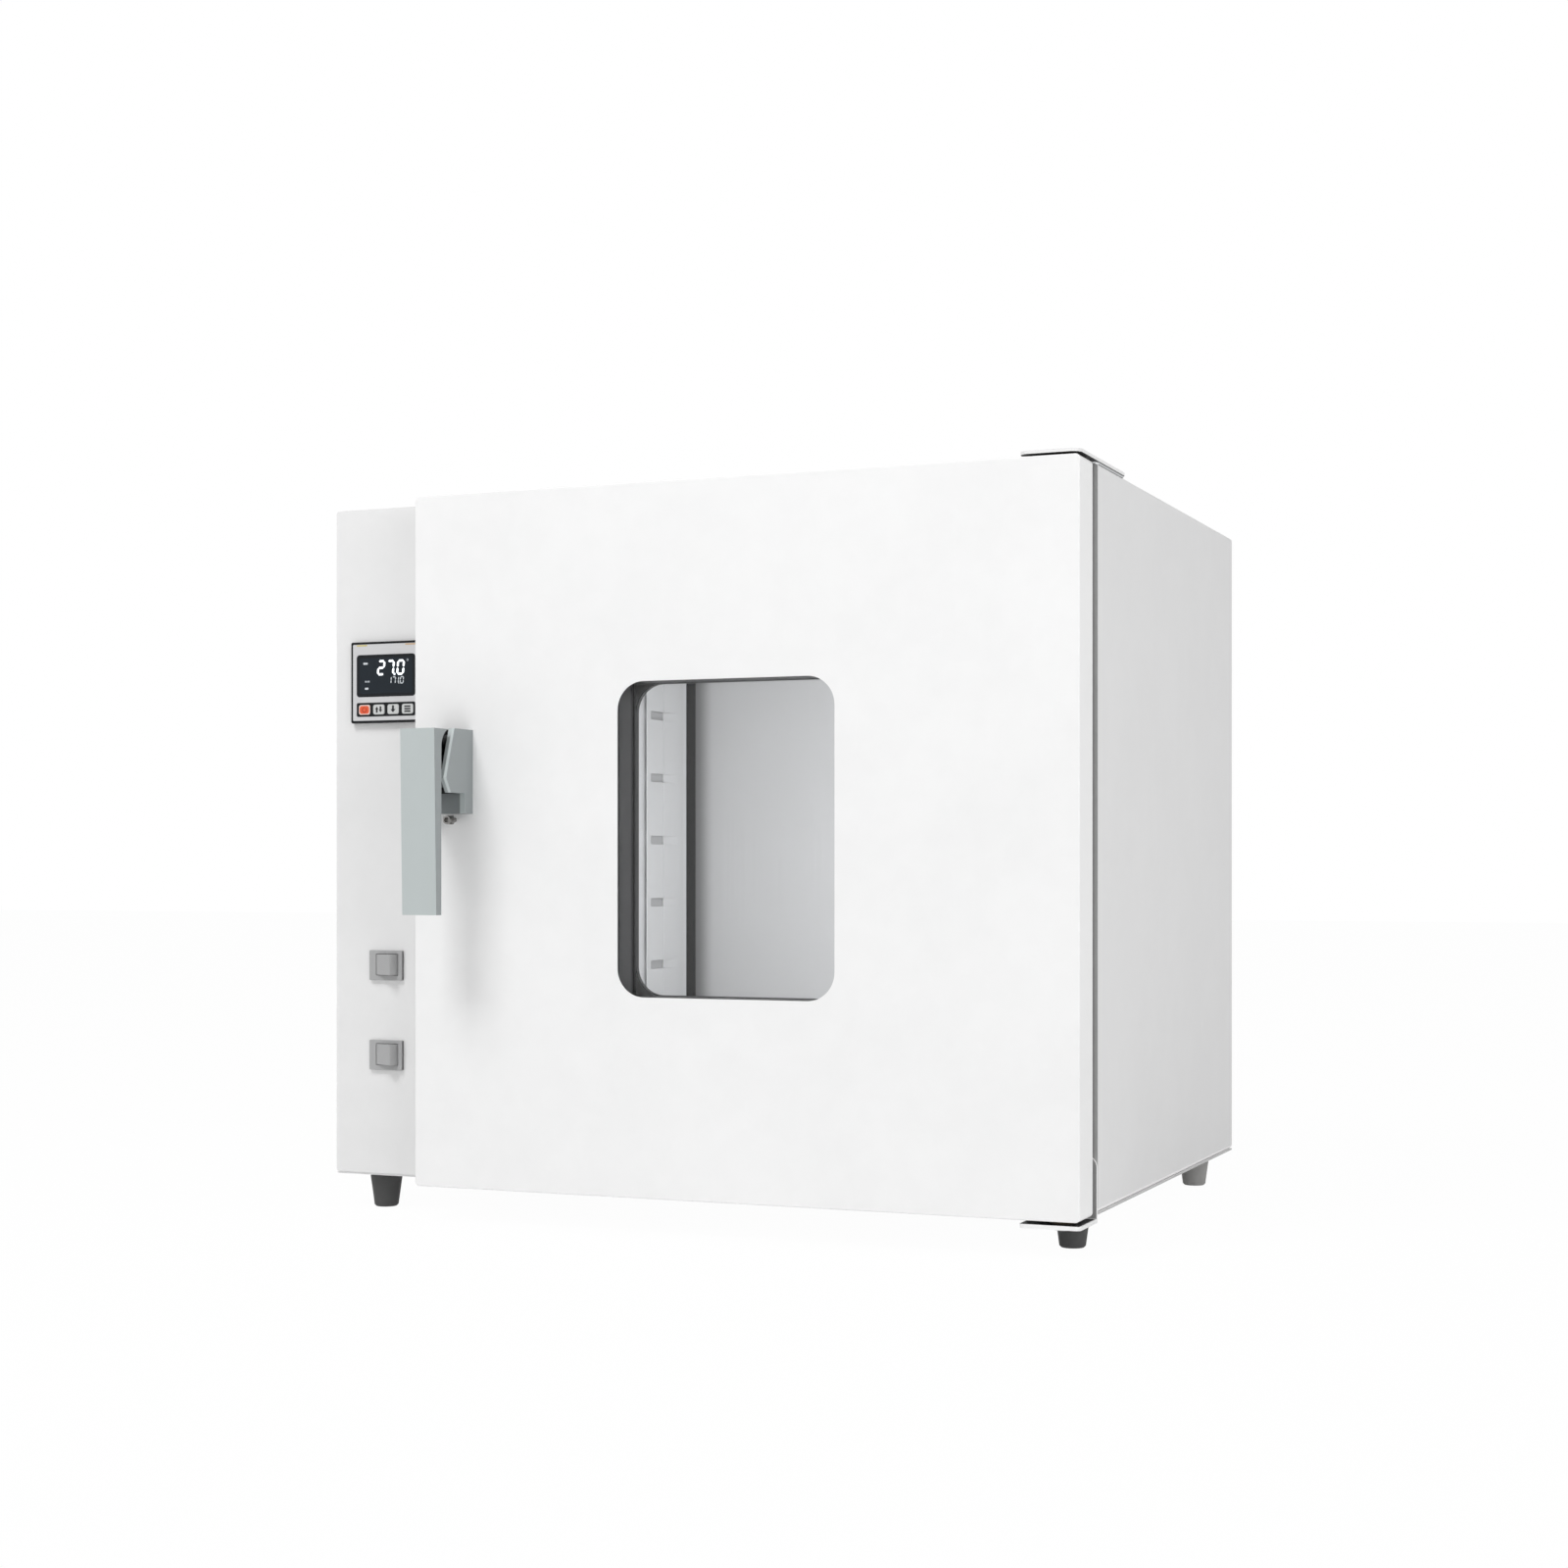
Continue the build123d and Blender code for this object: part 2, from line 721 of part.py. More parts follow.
def fan_shaft():
    """Long motor shaft through the wool to the fan wheel."""
    x0 = x_door - sheet - motor_gap - motor_boss_length + 2 - motor_bore
    return rod_x(x0, x_liner + impeller_gap + impeller_width, y_fan, z_fan, shaft_radius)


def drum(radius, length):
    """A round block that stands on the origin."""
    return Cylinder(radius, length, align=(Align.CENTER, Align.CENTER, Align.MIN))


def fan_impeller():
    """Centrifugal wheel: back plate, blades, front ring and hub."""
    plate = impeller_plate
    wheel = drum(impeller_radius, plate)
    wheel += Pos(0, 0, impeller_width - plate) * (
        drum(impeller_radius, plate) - drum(impeller_radius - impeller_ring, plate))
    wheel += drum(impeller_hub, impeller_width - 8)
    blade = Pos(impeller_radius - 1 - blade_length / 2, 0, impeller_width / 2) * Rot(0, 0, blade_angle)
    blade = blade * Box(blade_length, blade_sheet, impeller_width - plate)
    for number in range(blade_count):
        wheel += Rot(0, 0, number * 360 / blade_count) * blade
    wheel -= Cylinder(shaft_radius + running_gap, 3 * impeller_width)
    return aligned_x(wheel, x_liner + impeller_gap, y_fan, z_fan)


def cooling_disc():
    """Finned disc on the shaft that keeps heat from the motor."""
    disc = drum(disc_radius, disc_sheet) + drum(disc_hub, disc_hub)
    fin = disc_radius - disc_hub - 3
    for number in range(disc_fins):
        disc += Rot(0, 0, number * 360 / disc_fins) * Pos(disc_radius - 2 - fin / 2, 0, disc_fin_height / 2) * Box(
            fin, disc_sheet, disc_fin_height)
    disc -= Cylinder(shaft_radius + running_gap, 40)
    return aligned_x(disc, x_door - sheet - 20, y_fan, z_fan)


def temperature_probe():
    """Sensor rod through the left wall, with its nut inside the column."""
    y = y_door + probe_depth
    z = z_base + probe_height
    probe = rod_x(x_door - sheet - 14, x_chamber + 45, y, z, probe_radius)
    nut = Plane(origin=(x_door - sheet - 8, y, z), x_dir=(0, 1, 0), z_dir=(1, 0, 0)) * RegularPolygon(6, 6)
    return probe + extrude(nut, amount=8)


def door_gasket():
    """Silicone seal on the front frame, round the chamber's mouth."""
    width = x_chamber_right - x_liner + 2 * gasket_margin
    height = chamber_height + 2 * gasket_margin
    front = y_door_back + liner_plate + seat_gap
    seal = ring((x_liner + x_chamber_right) / 2, z_middle, width, height, gasket_width, front, y_front, 10.0)
    edges = seal.edges().filter_by_position(Axis.Y, front, front)
    return fillet(edges, gasket_width / 2 - 1.5)


def exhaust_tube():
    """Vent tube from the liner's roof, with its roof flange and a drilled top."""
    flange = 1.5
    z0 = z_chamber_top + liner_sheet
    z1 = z_top + vent_rise
    tube = rod_z(x_vent, y_vent, z0, z1, vent_radius)
    tube += rod_z(x_vent, y_vent, z_top, z_top + flange, vent_radius + vent_flange)
    tube -= rod_z(x_vent, y_vent, z0 - 1, z1 - vent_wall, vent_radius - vent_wall)
    return tube - vent_pattern(z1 - 2 * vent_wall, z1 + 1)


def vent_pattern(z0, z1):
    """The ring of holes that the vent's top and its cap share."""
    holes = rod_z(x_vent, y_vent, z0, z1, 2.0)
    for number in range(vent_holes):
        turn = number * 2 * pi / vent_holes
        holes += rod_z(x_vent + vent_circle * cos(turn), y_vent + vent_circle * sin(turn), z0, z1, vent_hole)
    return holes


def exhaust_damper():
    """Turning cap of the vent, with the same holes and a grip bar."""
    z1 = z_top + vent_rise + running_gap
    z2 = z1 + damper_top
    cap = rod_z(x_vent, y_vent, z1 - damper_skirt, z2, vent_radius + damper_wall)
    cap = fillet(cap.edges().sort_by(Axis.Z)[-1], 1.5)
    cap -= rod_z(x_vent, y_vent, z1 - damper_skirt - 1, z1, vent_radius + running_gap)
    cap -= vent_pattern(z1 - 1, z2 + 1)
    grip = Pos(x_vent, y_vent, z2 - 0.5) * RectangleRounded(2 * vent_radius, damper_grip, 2)
    return cap + extrude(grip, amount=damper_grip_height + 0.5)


def top_hinge_plate():
    """Hinge plate on the roof that reaches over the door."""
    z0 = z_top + hinge_spacer
    plate = flat(x_right - hinge_width, x_right, y_door, y_door + hinge_length, z0, z0 + hinge_plate, hinge_corner)
    return plate - rod_z(x_pivot, y_pivot, z0 - 1, z0 + hinge_plate + 1, pin_radius + slide_gap)


def top_hinge_spacer():
    """Pad between the hinge plate and the roof."""
    return flat(x_right - hinge_width + 1, x_right - 1, y_front + 4, y_door + hinge_length - 1, z_top,
                z_top + hinge_spacer, hinge_corner - 1)


def bottom_hinge_bracket():
    """Angle bracket on the front frame that carries the door."""
    x0 = x_right - hinge_width
    z1 = z_base - bracket_gap
    z0 = z1 - bracket_plate
    leg = 3.0
    outline = Rectangle(hinge_width, bracket_leg - (z0 - z_base))
    upright = Plane(origin=((x0 + x_right) / 2, y_front, (z0 + z_base + bracket_leg) / 2), x_dir=(1, 0, 0),
                    z_dir=(0, -1, 0)) * outline
    upright = fillet(upright.vertices().group_by(Axis.Z)[-1], 9.0)
    bracket = extrude(upright, amount=leg)
    bracket += flat(x0, x_right, y_door + bracket_front, y_front, z0, z1, 4.0)
    bracket += block(x0, x_right, y_front - 10, y_front, z0, z1)
    return bracket - rod_z(x_pivot, y_pivot, z0 - 1, z1 + 1, pin_radius + slide_gap)


def hinge_pins():
    """The two hinge pins, with their heads outside the plates."""
    head = 2.0
    top = z_top + hinge_spacer + hinge_plate
    low = z_base - bracket_gap - bracket_plate
    upper = rod_z(x_pivot, y_pivot, z_top - bush_length + 4, top, pin_radius)
    upper += rod_z(x_pivot, y_pivot, top, top + head, 7.0)
    lower = rod_z(x_pivot, y_pivot, low, z_base + bush_length - 4, pin_radius)
    lower += rod_z(x_pivot, y_pivot, low - head, low, 7.0)
    return Compound(children=[upper, lower])


def hinge_bush(z, up, flange):
    """Flanged bush in the door's edge: up is 1 when its sleeve points up."""
    bore = pin_radius + running_gap
    profile = [(bore, -flange), (bush_flange_radius, -flange), (bush_flange_radius, 0), (bush_radius, 0),
               (bush_radius, bush_length), (bore, bush_length)]
    return Plane(origin=(x_pivot, y_pivot, z), x_dir=(1, 0, 0), z_dir=(0, 0, up)) * turned(profile)


def hinge_bushes():
    """The door's upper and lower bushes."""
    upper = hinge_bush(z_top, -1, hinge_spacer - seat_gap)
    lower = hinge_bush(z_base, 1, bracket_gap - seat_gap)
    return Compound(children=[upper, lower])


def door_skin():
    """Outer pan of the door: front sheet, four edges and a folded return at the back."""
    skin = slab(door_middle, z_middle, door_width, cabinet_height, y_door, y_door_back, door_corner)
    skin = fillet(skin.edges().filter_by_position(Axis.Y, y_door, y_door), door_edge)
    skin -= slab(door_middle, z_middle, door_width - 2 * sheet, cabinet_height - 2 * sheet,
                 y_door + sheet, y_door_back - sheet, door_corner - sheet)
    skin -= slab(door_middle, z_middle, door_width - 2 * door_return, cabinet_height - 2 * door_return,
                 y_door_back - 2 * sheet, y_door_back + 1, 6.0)
    skin -= slab(window_middle, z_window, window_width, window_height, y_door - 1, y_door + 2 * sheet,
                 window_corner)
    for z in (z_base, z_top):
        skin -= rod_z(x_pivot, y_pivot, z - 2 * sheet, z + 2 * sheet, bush_radius + slide_gap)
    return skin


def outer_glass():
    """Outer pane, behind the door's skin."""
    return slab(window_middle, z_window, window_width + 2 * pane_margin, window_height + 2 * pane_margin,
                y_pane, y_tunnel, 6.0)


def window_tunnel():
    """Sheet frame between the panes, with a flange that clamps the outer pane."""
    flange = ring(window_middle, z_window, window_width, window_height, pane_margin, y_tunnel,
                  y_tunnel + tunnel_sheet)
    return flange + ring(window_middle, z_window, window_width, window_height, tunnel_sheet, y_tunnel, y_seal)


def glass_seal():
    """Silicone channel that holds the inner pane."""
    seal = ring(window_middle, z_window, window_width, window_height, seal_width, y_seal, y_door_back)
    y0, y1 = inner_pane_span()
    return seal - slab(window_middle, z_window, window_width + 2 * inner_pane_margin + seat_gap,
                       window_height + 2 * inner_pane_margin + seat_gap, y0, y1)


def inner_pane_span():
    """The front and back faces of the inner pane, in the middle of its seal."""
    middle = (y_seal + y_door_back) / 2
    return middle - inner_pane_thickness / 2, middle + inner_pane_thickness / 2


def inner_glass():
    """Inner pane of the window."""
    y0, y1 = inner_pane_span()
    return slab(window_middle, z_window, window_width + 2 * inner_pane_margin,
                window_height + 2 * inner_pane_margin, y0, y1)


def door_liner():
    """Inner sheet of the door, with a collar round the window's opening."""
    width = door_width - 2 * liner_plate_margin
    height = cabinet_height - 2 * liner_plate_margin
    plate = slab(door_middle, z_middle, width, height, y_door_back, y_door_back + liner_plate, 8.0)
    plate -= slab(window_middle, z_window, window_width, window_height, y_door_back - 1,
                  y_door_back + 2 * liner_plate, window_corner)
    return plate + ring(window_middle, z_window, window_width, window_height, liner_plate, y_door_back,
                        y_door_back + window_collar, window_corner)


def door_insulation():
    """Wool inside the door, round the window's frame and the hinge bushes."""
    g = seat_gap
    y0 = y_tunnel + tunnel_sheet + g
    y1 = y_door_back - sheet - g
    inset = 2 * (sheet + g)
    wool = slab(door_middle, z_middle, door_width - inset, cabinet_height - inset, y0, y1, 3.0)
    rim = 2 * (seal_width + g)
    wool -= slab(window_middle, z_window, window_width + rim, window_height + rim, y0 - 1, y1 + 1)
    for z in (z_base, z_top):
        wool -= rod_z(x_pivot, y_pivot, z - bush_length - 2, z + bush_length + 2, bush_radius + 1)
    return wool


def handle_base():
    """Lever's mount on the door: a low foot with two bevelled cheeks."""
    x0 = x_handle - base_width / 2
    x1 = x_handle + base_width / 2
    low = z_base + lug_bottom
    top = z_base + base_top
    root = y_door - base_low_reach
    base = block(x0, x1, root, y_door, z_base + base_bottom, top)
    outline = make_face(Polyline(
        (root + 1, top), (y_door - lug_top_reach, top), (y_door - lug_reach, z_base + lug_knee),
        (y_door - lug_low_reach, low), (root + 1, low), close=True))
    for outside, near in ((x0, x0), (x1, x1 - cheek)):
        lug = side_cut(near, near + cheek, outline)
        front = lug.edges().filter_by_position(Axis.X, outside, outside).sort_by(Axis.Y)[:2]
        base += chamfer(front, cheek_bevel)
    y = y_door - handle_pivot_reach
    height = z_base + handle_pivot_height
    return base - rod_x(x0 - 1, x1 - cheek / 2, y, height, handle_pin_radius + running_gap)


def handle_stud():
    """Socket-head stop screw with its locknut, below the handle's mount."""
    z = z_base + base_bottom - stud_drop
    front = y_door - stud_reach
    neck = front + stud_head
    stud = rod_y(x_handle, front, neck, z, stud_radius) + rod_y(x_handle, neck, y_door, z, stud_shank)
    nut = Plane(origin=(x_handle, neck, z), x_dir=(1, 0, 0), z_dir=(0, 1, 0)) * RegularPolygon(stud_nut, 6)
    stud += extrude(nut, amount=stud_nut_thickness)
    return stud - rod_y(x_handle, front - 1, front + stud_head - 1.5, z, stud_socket)


def handle_lever():
    """Pull lever: a long tapering bar with a curled head and a tongue between the cheeks."""
    x0 = x_handle - lever_width / 2
    x1 = x_handle + lever_width / 2
    y = y_door
    low = z_base + lever_bottom
    top = z_base + lever_top
    curl = top - lever_head
    bend_y = y - (lever_back + lever_head_back) / 2 - lever_curl
    bend_z = (curl + top) / 2 + lever_curl
    bar = make_face(
        Polyline((y - lever_back, curl), (y - lever_low_back, low), (y - lever_low_reach, low),
                 (y - lever_reach, top), (y - lever_head_back, top))
        + ThreePointArc((y - lever_head_back, top), (bend_y, bend_z), (y - lever_back, curl)))
    lever = side_cut(x0, x1, bar)
    reach = y - handle_pivot_reach
    height = z_base + handle_pivot_height
    root = y - lever_back - tongue_root
    tongue = make_face(Polyline((root, height + tongue_rise), (reach, height + tongue_radius),
                                (reach, height - tongue_radius), (root, height - tongue_drop), close=True))
    tx0 = x_handle - tongue_width / 2
    tx1 = x_handle + tongue_width / 2
    lever += side_cut(tx0, tx1, tongue)
    lever += rod_x(tx0, tx1, reach, height, tongue_radius)
    return lever - rod_x(tx0 - 1, tx1 + 1, reach, height, handle_pin_radius + 0.02)


def latch_hook():
    """Pivot pin with its crank, the cross arm and the hook beside the door's edge."""
    reach = y_door - handle_pivot_reach
    height = z_base + handle_pivot_height
    crank1 = x_handle - base_width / 2 - crank_gap
    crank0 = crank1 - crank_thickness
    hook1 = x_door - hook_side_gap
    hook0 = hook1 - hook_plate
    arm_y = y_door - arm_reach
    arm_z = z_base + roller_height - arm_drop
    half = arm_size / 2
    pin_end = x_handle + base_width / 2 - cheek / 2 - seat_gap
    pin = rod_x(crank0, pin_end, reach, height, handle_pin_radius)
    link = make_hull(
        (Pos(reach, height) * Circle(crank_eye)).edges() + (Pos(arm_y, arm_z) * Circle(crank_end)).edges())
    crank = side_cut(crank0, crank1, link)
    arm = block(hook0, crank1, arm_y - half, arm_y + half, arm_z - half, arm_z + half)
    return pin + crank + arm + side_cut(hook0, hook1, latch_outline(reach, height))


def latch_outline(reach, height):
    """The hook's outline: a bar under the roller and a lip that is an arc about the pivot."""
    centre_y = y_door + roller_depth
    centre_z = z_base + roller_height
    lip = sqrt((centre_y - reach) ** 2 + (centre_z - height) ** 2) + roller_radius + latch_gap
    lip_top = centre_z - roller_radius - latch_gap
    floor = lip_top - hook_lip
    y_top = reach + sqrt(lip ** 2 - (height - lip_top) ** 2)
    y_floor = reach + sqrt(lip ** 2 - (height - floor) ** 2)
    middle = (lip_top + floor) / 2
    y_middle = reach + sqrt(lip ** 2 - (height - middle) ** 2)
    start = y_door - hook_start
    line = Polyline((y_floor, floor), (start, floor), (start, floor - hook_bar),
                    (y_floor + hook_tip - 2, floor - hook_bar), (y_top + hook_tip, floor - 3),
                    (y_top + hook_tip - 1, lip_top), (y_top, lip_top))
    return make_face(line + ThreePointArc((y_top, lip_top), (y_middle, middle), (y_floor, floor)))


def latch_keeper():
    """Bracket on the column that carries the keeper roller on its pin."""
    y = y_door + roller_depth
    z = z_base + roller_height
    arm1 = x_keeper
    arm0 = arm1 - keeper_plate
    base = slab(arm1 - keeper_foot_width / 2, z, keeper_foot_width, keeper_foot_height, y_front - keeper_plate,
                y_front, keeper_plate)
    arm = make_face(Polyline(
        (y_front - 1, z - keeper_root), (y_front - 1, z + keeper_root), (y + keeper_throat_back, z + keeper_throat),
        (y - keeper_nose_front, z + keeper_nose), (y - keeper_nose_front, z - keeper_nose),
        (y + keeper_throat_back, z - keeper_throat), close=True))
    keeper = base + side_cut(arm0, arm1, arm)
    pin_end = arm1 + roller_gap + roller_length + seat_gap
    keeper += rod_x(arm0, pin_end + collar_thickness, y, z, roller_pin)
    keeper += rod_x(pin_end, pin_end + collar_thickness, y, z, roller_collar)
    return keeper + rod_x(arm1 - 1, arm1 + roller_gap / 2, y, z, roller_collar)


def keeper_roller():
    """Roller that the hook draws against."""
    x0 = x_keeper + roller_gap
    centre = (y_door + roller_depth, z_base + roller_height)
    roller = rod_x(x0, x0 + roller_length, *centre, roller_radius)
    return roller - rod_x(x0 - 1, x0 + roller_length + 1, *centre, roller_pin + running_gap)


def key_places():
    """The middles of the four keys, left to right."""
    return [x_controls + (number - 1.5) * key_pitch for number in range(4)]


def controller_bezel():
    """Controller's front frame, with pockets for the display and the key strip."""
    bezel = slab(x_controls, z_controller, controller_size, controller_size, y_bezel, y_front, 1.5)
    bezel = fillet(bezel.edges().filter_by_position(Axis.Y, y_bezel, y_bezel), 0.8)
    bezel -= slab(x_controls, z_controller + display_rise, display_width, display_height, y_bezel - 1,
                  y_bezel + display_pocket, 3.0)
    bezel -= slab(x_controls, z_controller - strip_drop, display_width, strip_height, y_bezel - 1,
                  y_bezel + strip_pocket, 1.5)
    for x in key_places():
        bezel -= slab(x, z_controller - strip_drop, key_width + 2 * slide_gap, key_height + 2 * slide_gap,
                      y_bezel - 1, y_front + 1, 2.0)
    return bezel


def display_lens():
    """Display window in the bezel."""
    return slab(x_controls, z_controller + display_rise, display_width - 0.2, display_height - 0.2,
                y_bezel + 0.15, y_bezel + display_pocket, 2.9)


def controller_key(x):
    """One key of the controller."""
    key = slab(x, z_controller - strip_drop, key_width, key_height, y_bezel - 0.1, y_front - key_travel - 0.2, 2.0)
    return fillet(key.edges().filter_by_position(Axis.Y, y_bezel - 0.1, y_bezel - 0.1), 0.4)


def controller_case():
    """Controller's body behind the panel, with its terminal block."""
    case = slab(x_controls, z_controller, case_size, case_size, y_front, y_front + case_depth, 2.0)
    return case + slab(x_controls, z_controller, case_size - 16, case_size - 16, y_front + case_depth,
                       y_front + case_depth + 12)


def switch_housing(height):
    """Rocker switch's body: bezel plate, snap-in case and contact blades."""
    z = z_base + height
    y0 = y_front - switch_plate
    case = slab(x_controls + switch_plate_offset, z, switch_width, switch_height, y0, y_front, 1.0)
    case = fillet(case.edges().filter_by_position(Axis.Y, y0, y0), 0.4)
    case += slab(x_controls, z, switch_body_width, switch_body_height, y_front, y_front + switch_body_depth, 1.0)
    opening = 2 * (rocker_radius + rocker_side_gap)
    middle = z + rocker_rise
    case -= slab(x_controls, middle, opening, rocker_height + 2 * rocker_end_gap, y0 - 1,
                 y0 + rocker_pivot + rocker_radius + rocker_side_gap)
    trunnion = rocker_height / 2 + trunnion_length + seat_gap
    case -= rod_z(x_controls, y0 + rocker_pivot, middle - trunnion, middle + trunnion, trunnion_radius + running_gap)
    for side in (-8, 0, 8):
        case += block(x_controls + side - 0.4, x_controls + side + 0.4, y_front + switch_body_depth,
                      y_front + switch_body_depth + 8, z - 3, z + 3)
    return case


def switch_rocker(height):
    """Rocker: a round body with a flat face, tilted so that its right end stands out."""
    z = z_base + height + rocker_rise
    pivot = y_front - switch_plate + rocker_pivot
    body = rod_z(0, 0, -rocker_height / 2, rocker_height / 2, rocker_radius)
    body -= block(-2 * rocker_radius, 2 * rocker_radius, -2 * rocker_radius, -rocker_face,
                  -rocker_height, rocker_height)
    crests = body.edges().filter_by_position(Axis.Y, -rocker_face - 0.1, -rocker_face + 0.1).filter_by(Axis.Z)
    body = fillet(crests, 0.5)
    trunnion = rocker_height / 2 + trunnion_length
    body += rod_z(0, 0, -trunnion, trunnion, trunnion_radius)
    return Pos(x_controls, pivot, z) * Rot(0, 0, -rocker_tilt) * body


def terminal_block():
    """Mains terminal strip on the base pan, inside the column."""
    z0 = z_base + pan_thickness
    y0 = y_back - strip_from_back
    half = strip_length / 2
    strip = block(x_controls - half, x_controls + half, y0, y0 + strip_depth, z0, z0 + strip_rise)
    for number in range(5):
        x = x_controls + (number - 2) * strip_pitch
        strip -= block(x - 4, x + 4, y0 - 1, y0 + strip_depth + 1, z0 + strip_rise - 7, z0 + strip_rise + 1)
    return strip


def heater_relay():
    """Solid-state relay on its finned heat sink, standing on the base pan."""
    z0 = z_base + pan_thickness
    z1 = z0 + sink_height
    y0 = y_front + sink_from_front
    y1 = y0 + sink_plate
    half = sink_fin_sheet / 2
    sink = block(x_controls - sink_width / 2, x_controls + sink_width / 2, y0, y1, z0, z1)
    for number in range(9):
        x = x_controls + (number - 4) * sink_pitch
        sink += block(x - half, x + half, y1, y1 + sink_fin, z0, z1)
    return sink + block(x_controls - relay_width / 2, x_controls + relay_width / 2, y0 - relay_depth, y0,
                        z0 + 10, z1 - 12)


NODES = {
    "outer_shell": drilled(outer_shell()),
    "base_pan": base_pan(),
    "front_frame": front_frame(),
    "control_panel": control_panel(),
    "rear_panel": drilled(rear_panel()),
    "rear_cover": drilled(rear_cover()),
    "cover_screws": cover_screws(),
    "cable_gland": cable_gland(),
    "front_feet": feet(y_front + foot_inset_front),
    "rear_feet": feet(y_back - foot_inset_back),
    "partition": drilled(partition()),
    "insulation": insulation(),
    "chamber_liner": chamber_liner(),
    "air_baffle": air_baffle(),
    "left_rack_posts": rack_posts(x_chamber, 1),
    "right_rack_posts": rack_posts(x_chamber_right, -1),
    "lower_shelf": wire_shelf(0),
    "upper_shelf": wire_shelf(upper_shelf_level),
    "heating_element": heating_element(),
    "temperature_probe": temperature_probe(),
    "door_gasket": door_gasket(),
    "exhaust_tube": exhaust_tube(),
    "exhaust_damper": exhaust_damper(),
    "fan_motor": fan_motor(),
    "motor_bracket": motor_bracket(),
    "fan_shaft": fan_shaft(),
    "fan_impeller": fan_impeller(),
    "cooling_disc": cooling_disc(),
    "top_hinge_plate": top_hinge_plate(),
    "top_hinge_spacer": top_hinge_spacer(),
    "bottom_hinge_bracket": bottom_hinge_bracket(),
    "hinge_pins": hinge_pins(),
    "hinge_bushes": hinge_bushes(),
    "door_skin": door_skin(),
    "outer_glass": outer_glass(),
    "window_tunnel": window_tunnel(),
    "glass_seal": glass_seal(),
    "inner_glass": inner_glass(),
    "door_liner": door_liner(),
    "door_insulation": door_insulation(),
    "handle_base": handle_base(),
    "handle_stud": handle_stud(),
    "handle_lever": handle_lever(),
    "latch_hook": latch_hook(),
    "latch_keeper": latch_keeper(),
    "keeper_roller": keeper_roller(),
    "controller_bezel": controller_bezel(),
    "display_lens": display_lens(),
    "controller_case": controller_case(),
    "upper_switch_housing": switch_housing(upper_switch),
    "upper_switch_rocker": switch_rocker(upper_switch),
    "lower_switch_housing": switch_housing(lower_switch),
    "lower_switch_rocker": switch_rocker(lower_switch),
    "terminal_block": terminal_block(),
    "heater_relay": heater_relay(),
}
for number, place in enumerate(key_places(), start=1):
    NODES[f"controller_key_{number}"] = controller_key(place)

os.makedirs("parts", exist_ok=True)
for name, shape in NODES.items():
    export_step(shape, f"parts/{name}.step")
print(len(NODES), "nodes")
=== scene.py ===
"""Bench drying oven in a plain white studio.

The solid model is the fixed frame. This script gives each of its pieces a finish, adds what is too
fine for it, such as the display's figures, the signs on the keys and the screw heads, and sets up
the camera and the lamps. Everything is in metres, with the oven standing on Z = 0.
"""

import json
from math import cos, pi, radians, sin, tan

import bmesh
import bpy
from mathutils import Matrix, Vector


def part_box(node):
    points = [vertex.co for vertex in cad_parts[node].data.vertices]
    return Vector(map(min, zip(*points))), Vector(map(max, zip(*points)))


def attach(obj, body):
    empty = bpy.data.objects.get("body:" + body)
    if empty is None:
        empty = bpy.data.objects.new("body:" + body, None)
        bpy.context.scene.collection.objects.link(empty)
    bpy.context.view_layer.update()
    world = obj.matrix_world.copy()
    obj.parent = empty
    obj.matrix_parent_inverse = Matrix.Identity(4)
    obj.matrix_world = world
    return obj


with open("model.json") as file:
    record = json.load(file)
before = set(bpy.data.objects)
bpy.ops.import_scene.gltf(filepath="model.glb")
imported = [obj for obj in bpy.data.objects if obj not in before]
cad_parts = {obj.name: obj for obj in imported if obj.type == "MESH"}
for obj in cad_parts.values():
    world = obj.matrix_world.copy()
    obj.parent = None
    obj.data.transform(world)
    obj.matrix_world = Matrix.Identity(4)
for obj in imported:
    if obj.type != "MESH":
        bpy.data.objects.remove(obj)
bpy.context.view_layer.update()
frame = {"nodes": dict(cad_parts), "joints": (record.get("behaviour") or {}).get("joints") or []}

MM = 0.001

# Camera, as solved from the cabinet's straight edges
CAMERA_PLACE = (0.88183, -2.12634, 0.30785)
CAMERA_YAW = radians(22.52)
CAMERA_LENS = 56.95
CAMERA_SENSOR = 36.0
HORIZON_UNDER_MIDDLE = 0.0527

# Strength of the white surroundings, and how far the floor reads as plain white
AMBIENT = 0.445
FLOOR_SHARE = 0.975

# Studio lamps: what each shines at, along which way, from how far, its side and its power in watts
STUDIO_LAMPS = (
    ("key_lamp", (0.0, -0.2, 0.33), (0.21, 0.55, -0.81), 3.4, 1.0, 54.0),
    ("right_fill", (0.0, -0.1, 0.33), (-0.75, 0.62, -0.20), 3.2, 1.4, 15.3),
    ("side_fill", (0.35, 0.0, 0.33), (-0.94, 0.28, -0.18), 3.0, 2.0, 13.5),
)

# Chamber lamps: width, height and power, and how far each stands from its wall and off the middle
CHAMBER_SIDE_LAMP = (0.16, 0.40, 1.5)
SIDE_LAMP_GAP = 0.01
SIDE_LAMP_SHIFT = 0.07
CHAMBER_BACK_LAMP = (0.28, 0.42, 1.15)
BACK_LAMP_GAP = 0.02
BACK_LAMP_SHIFT = 0.05

# Width of the step from one finish to another, where it is sharp and where it is soft
SHARP = 0.2 * MM
SOFT = 0.6 * MM

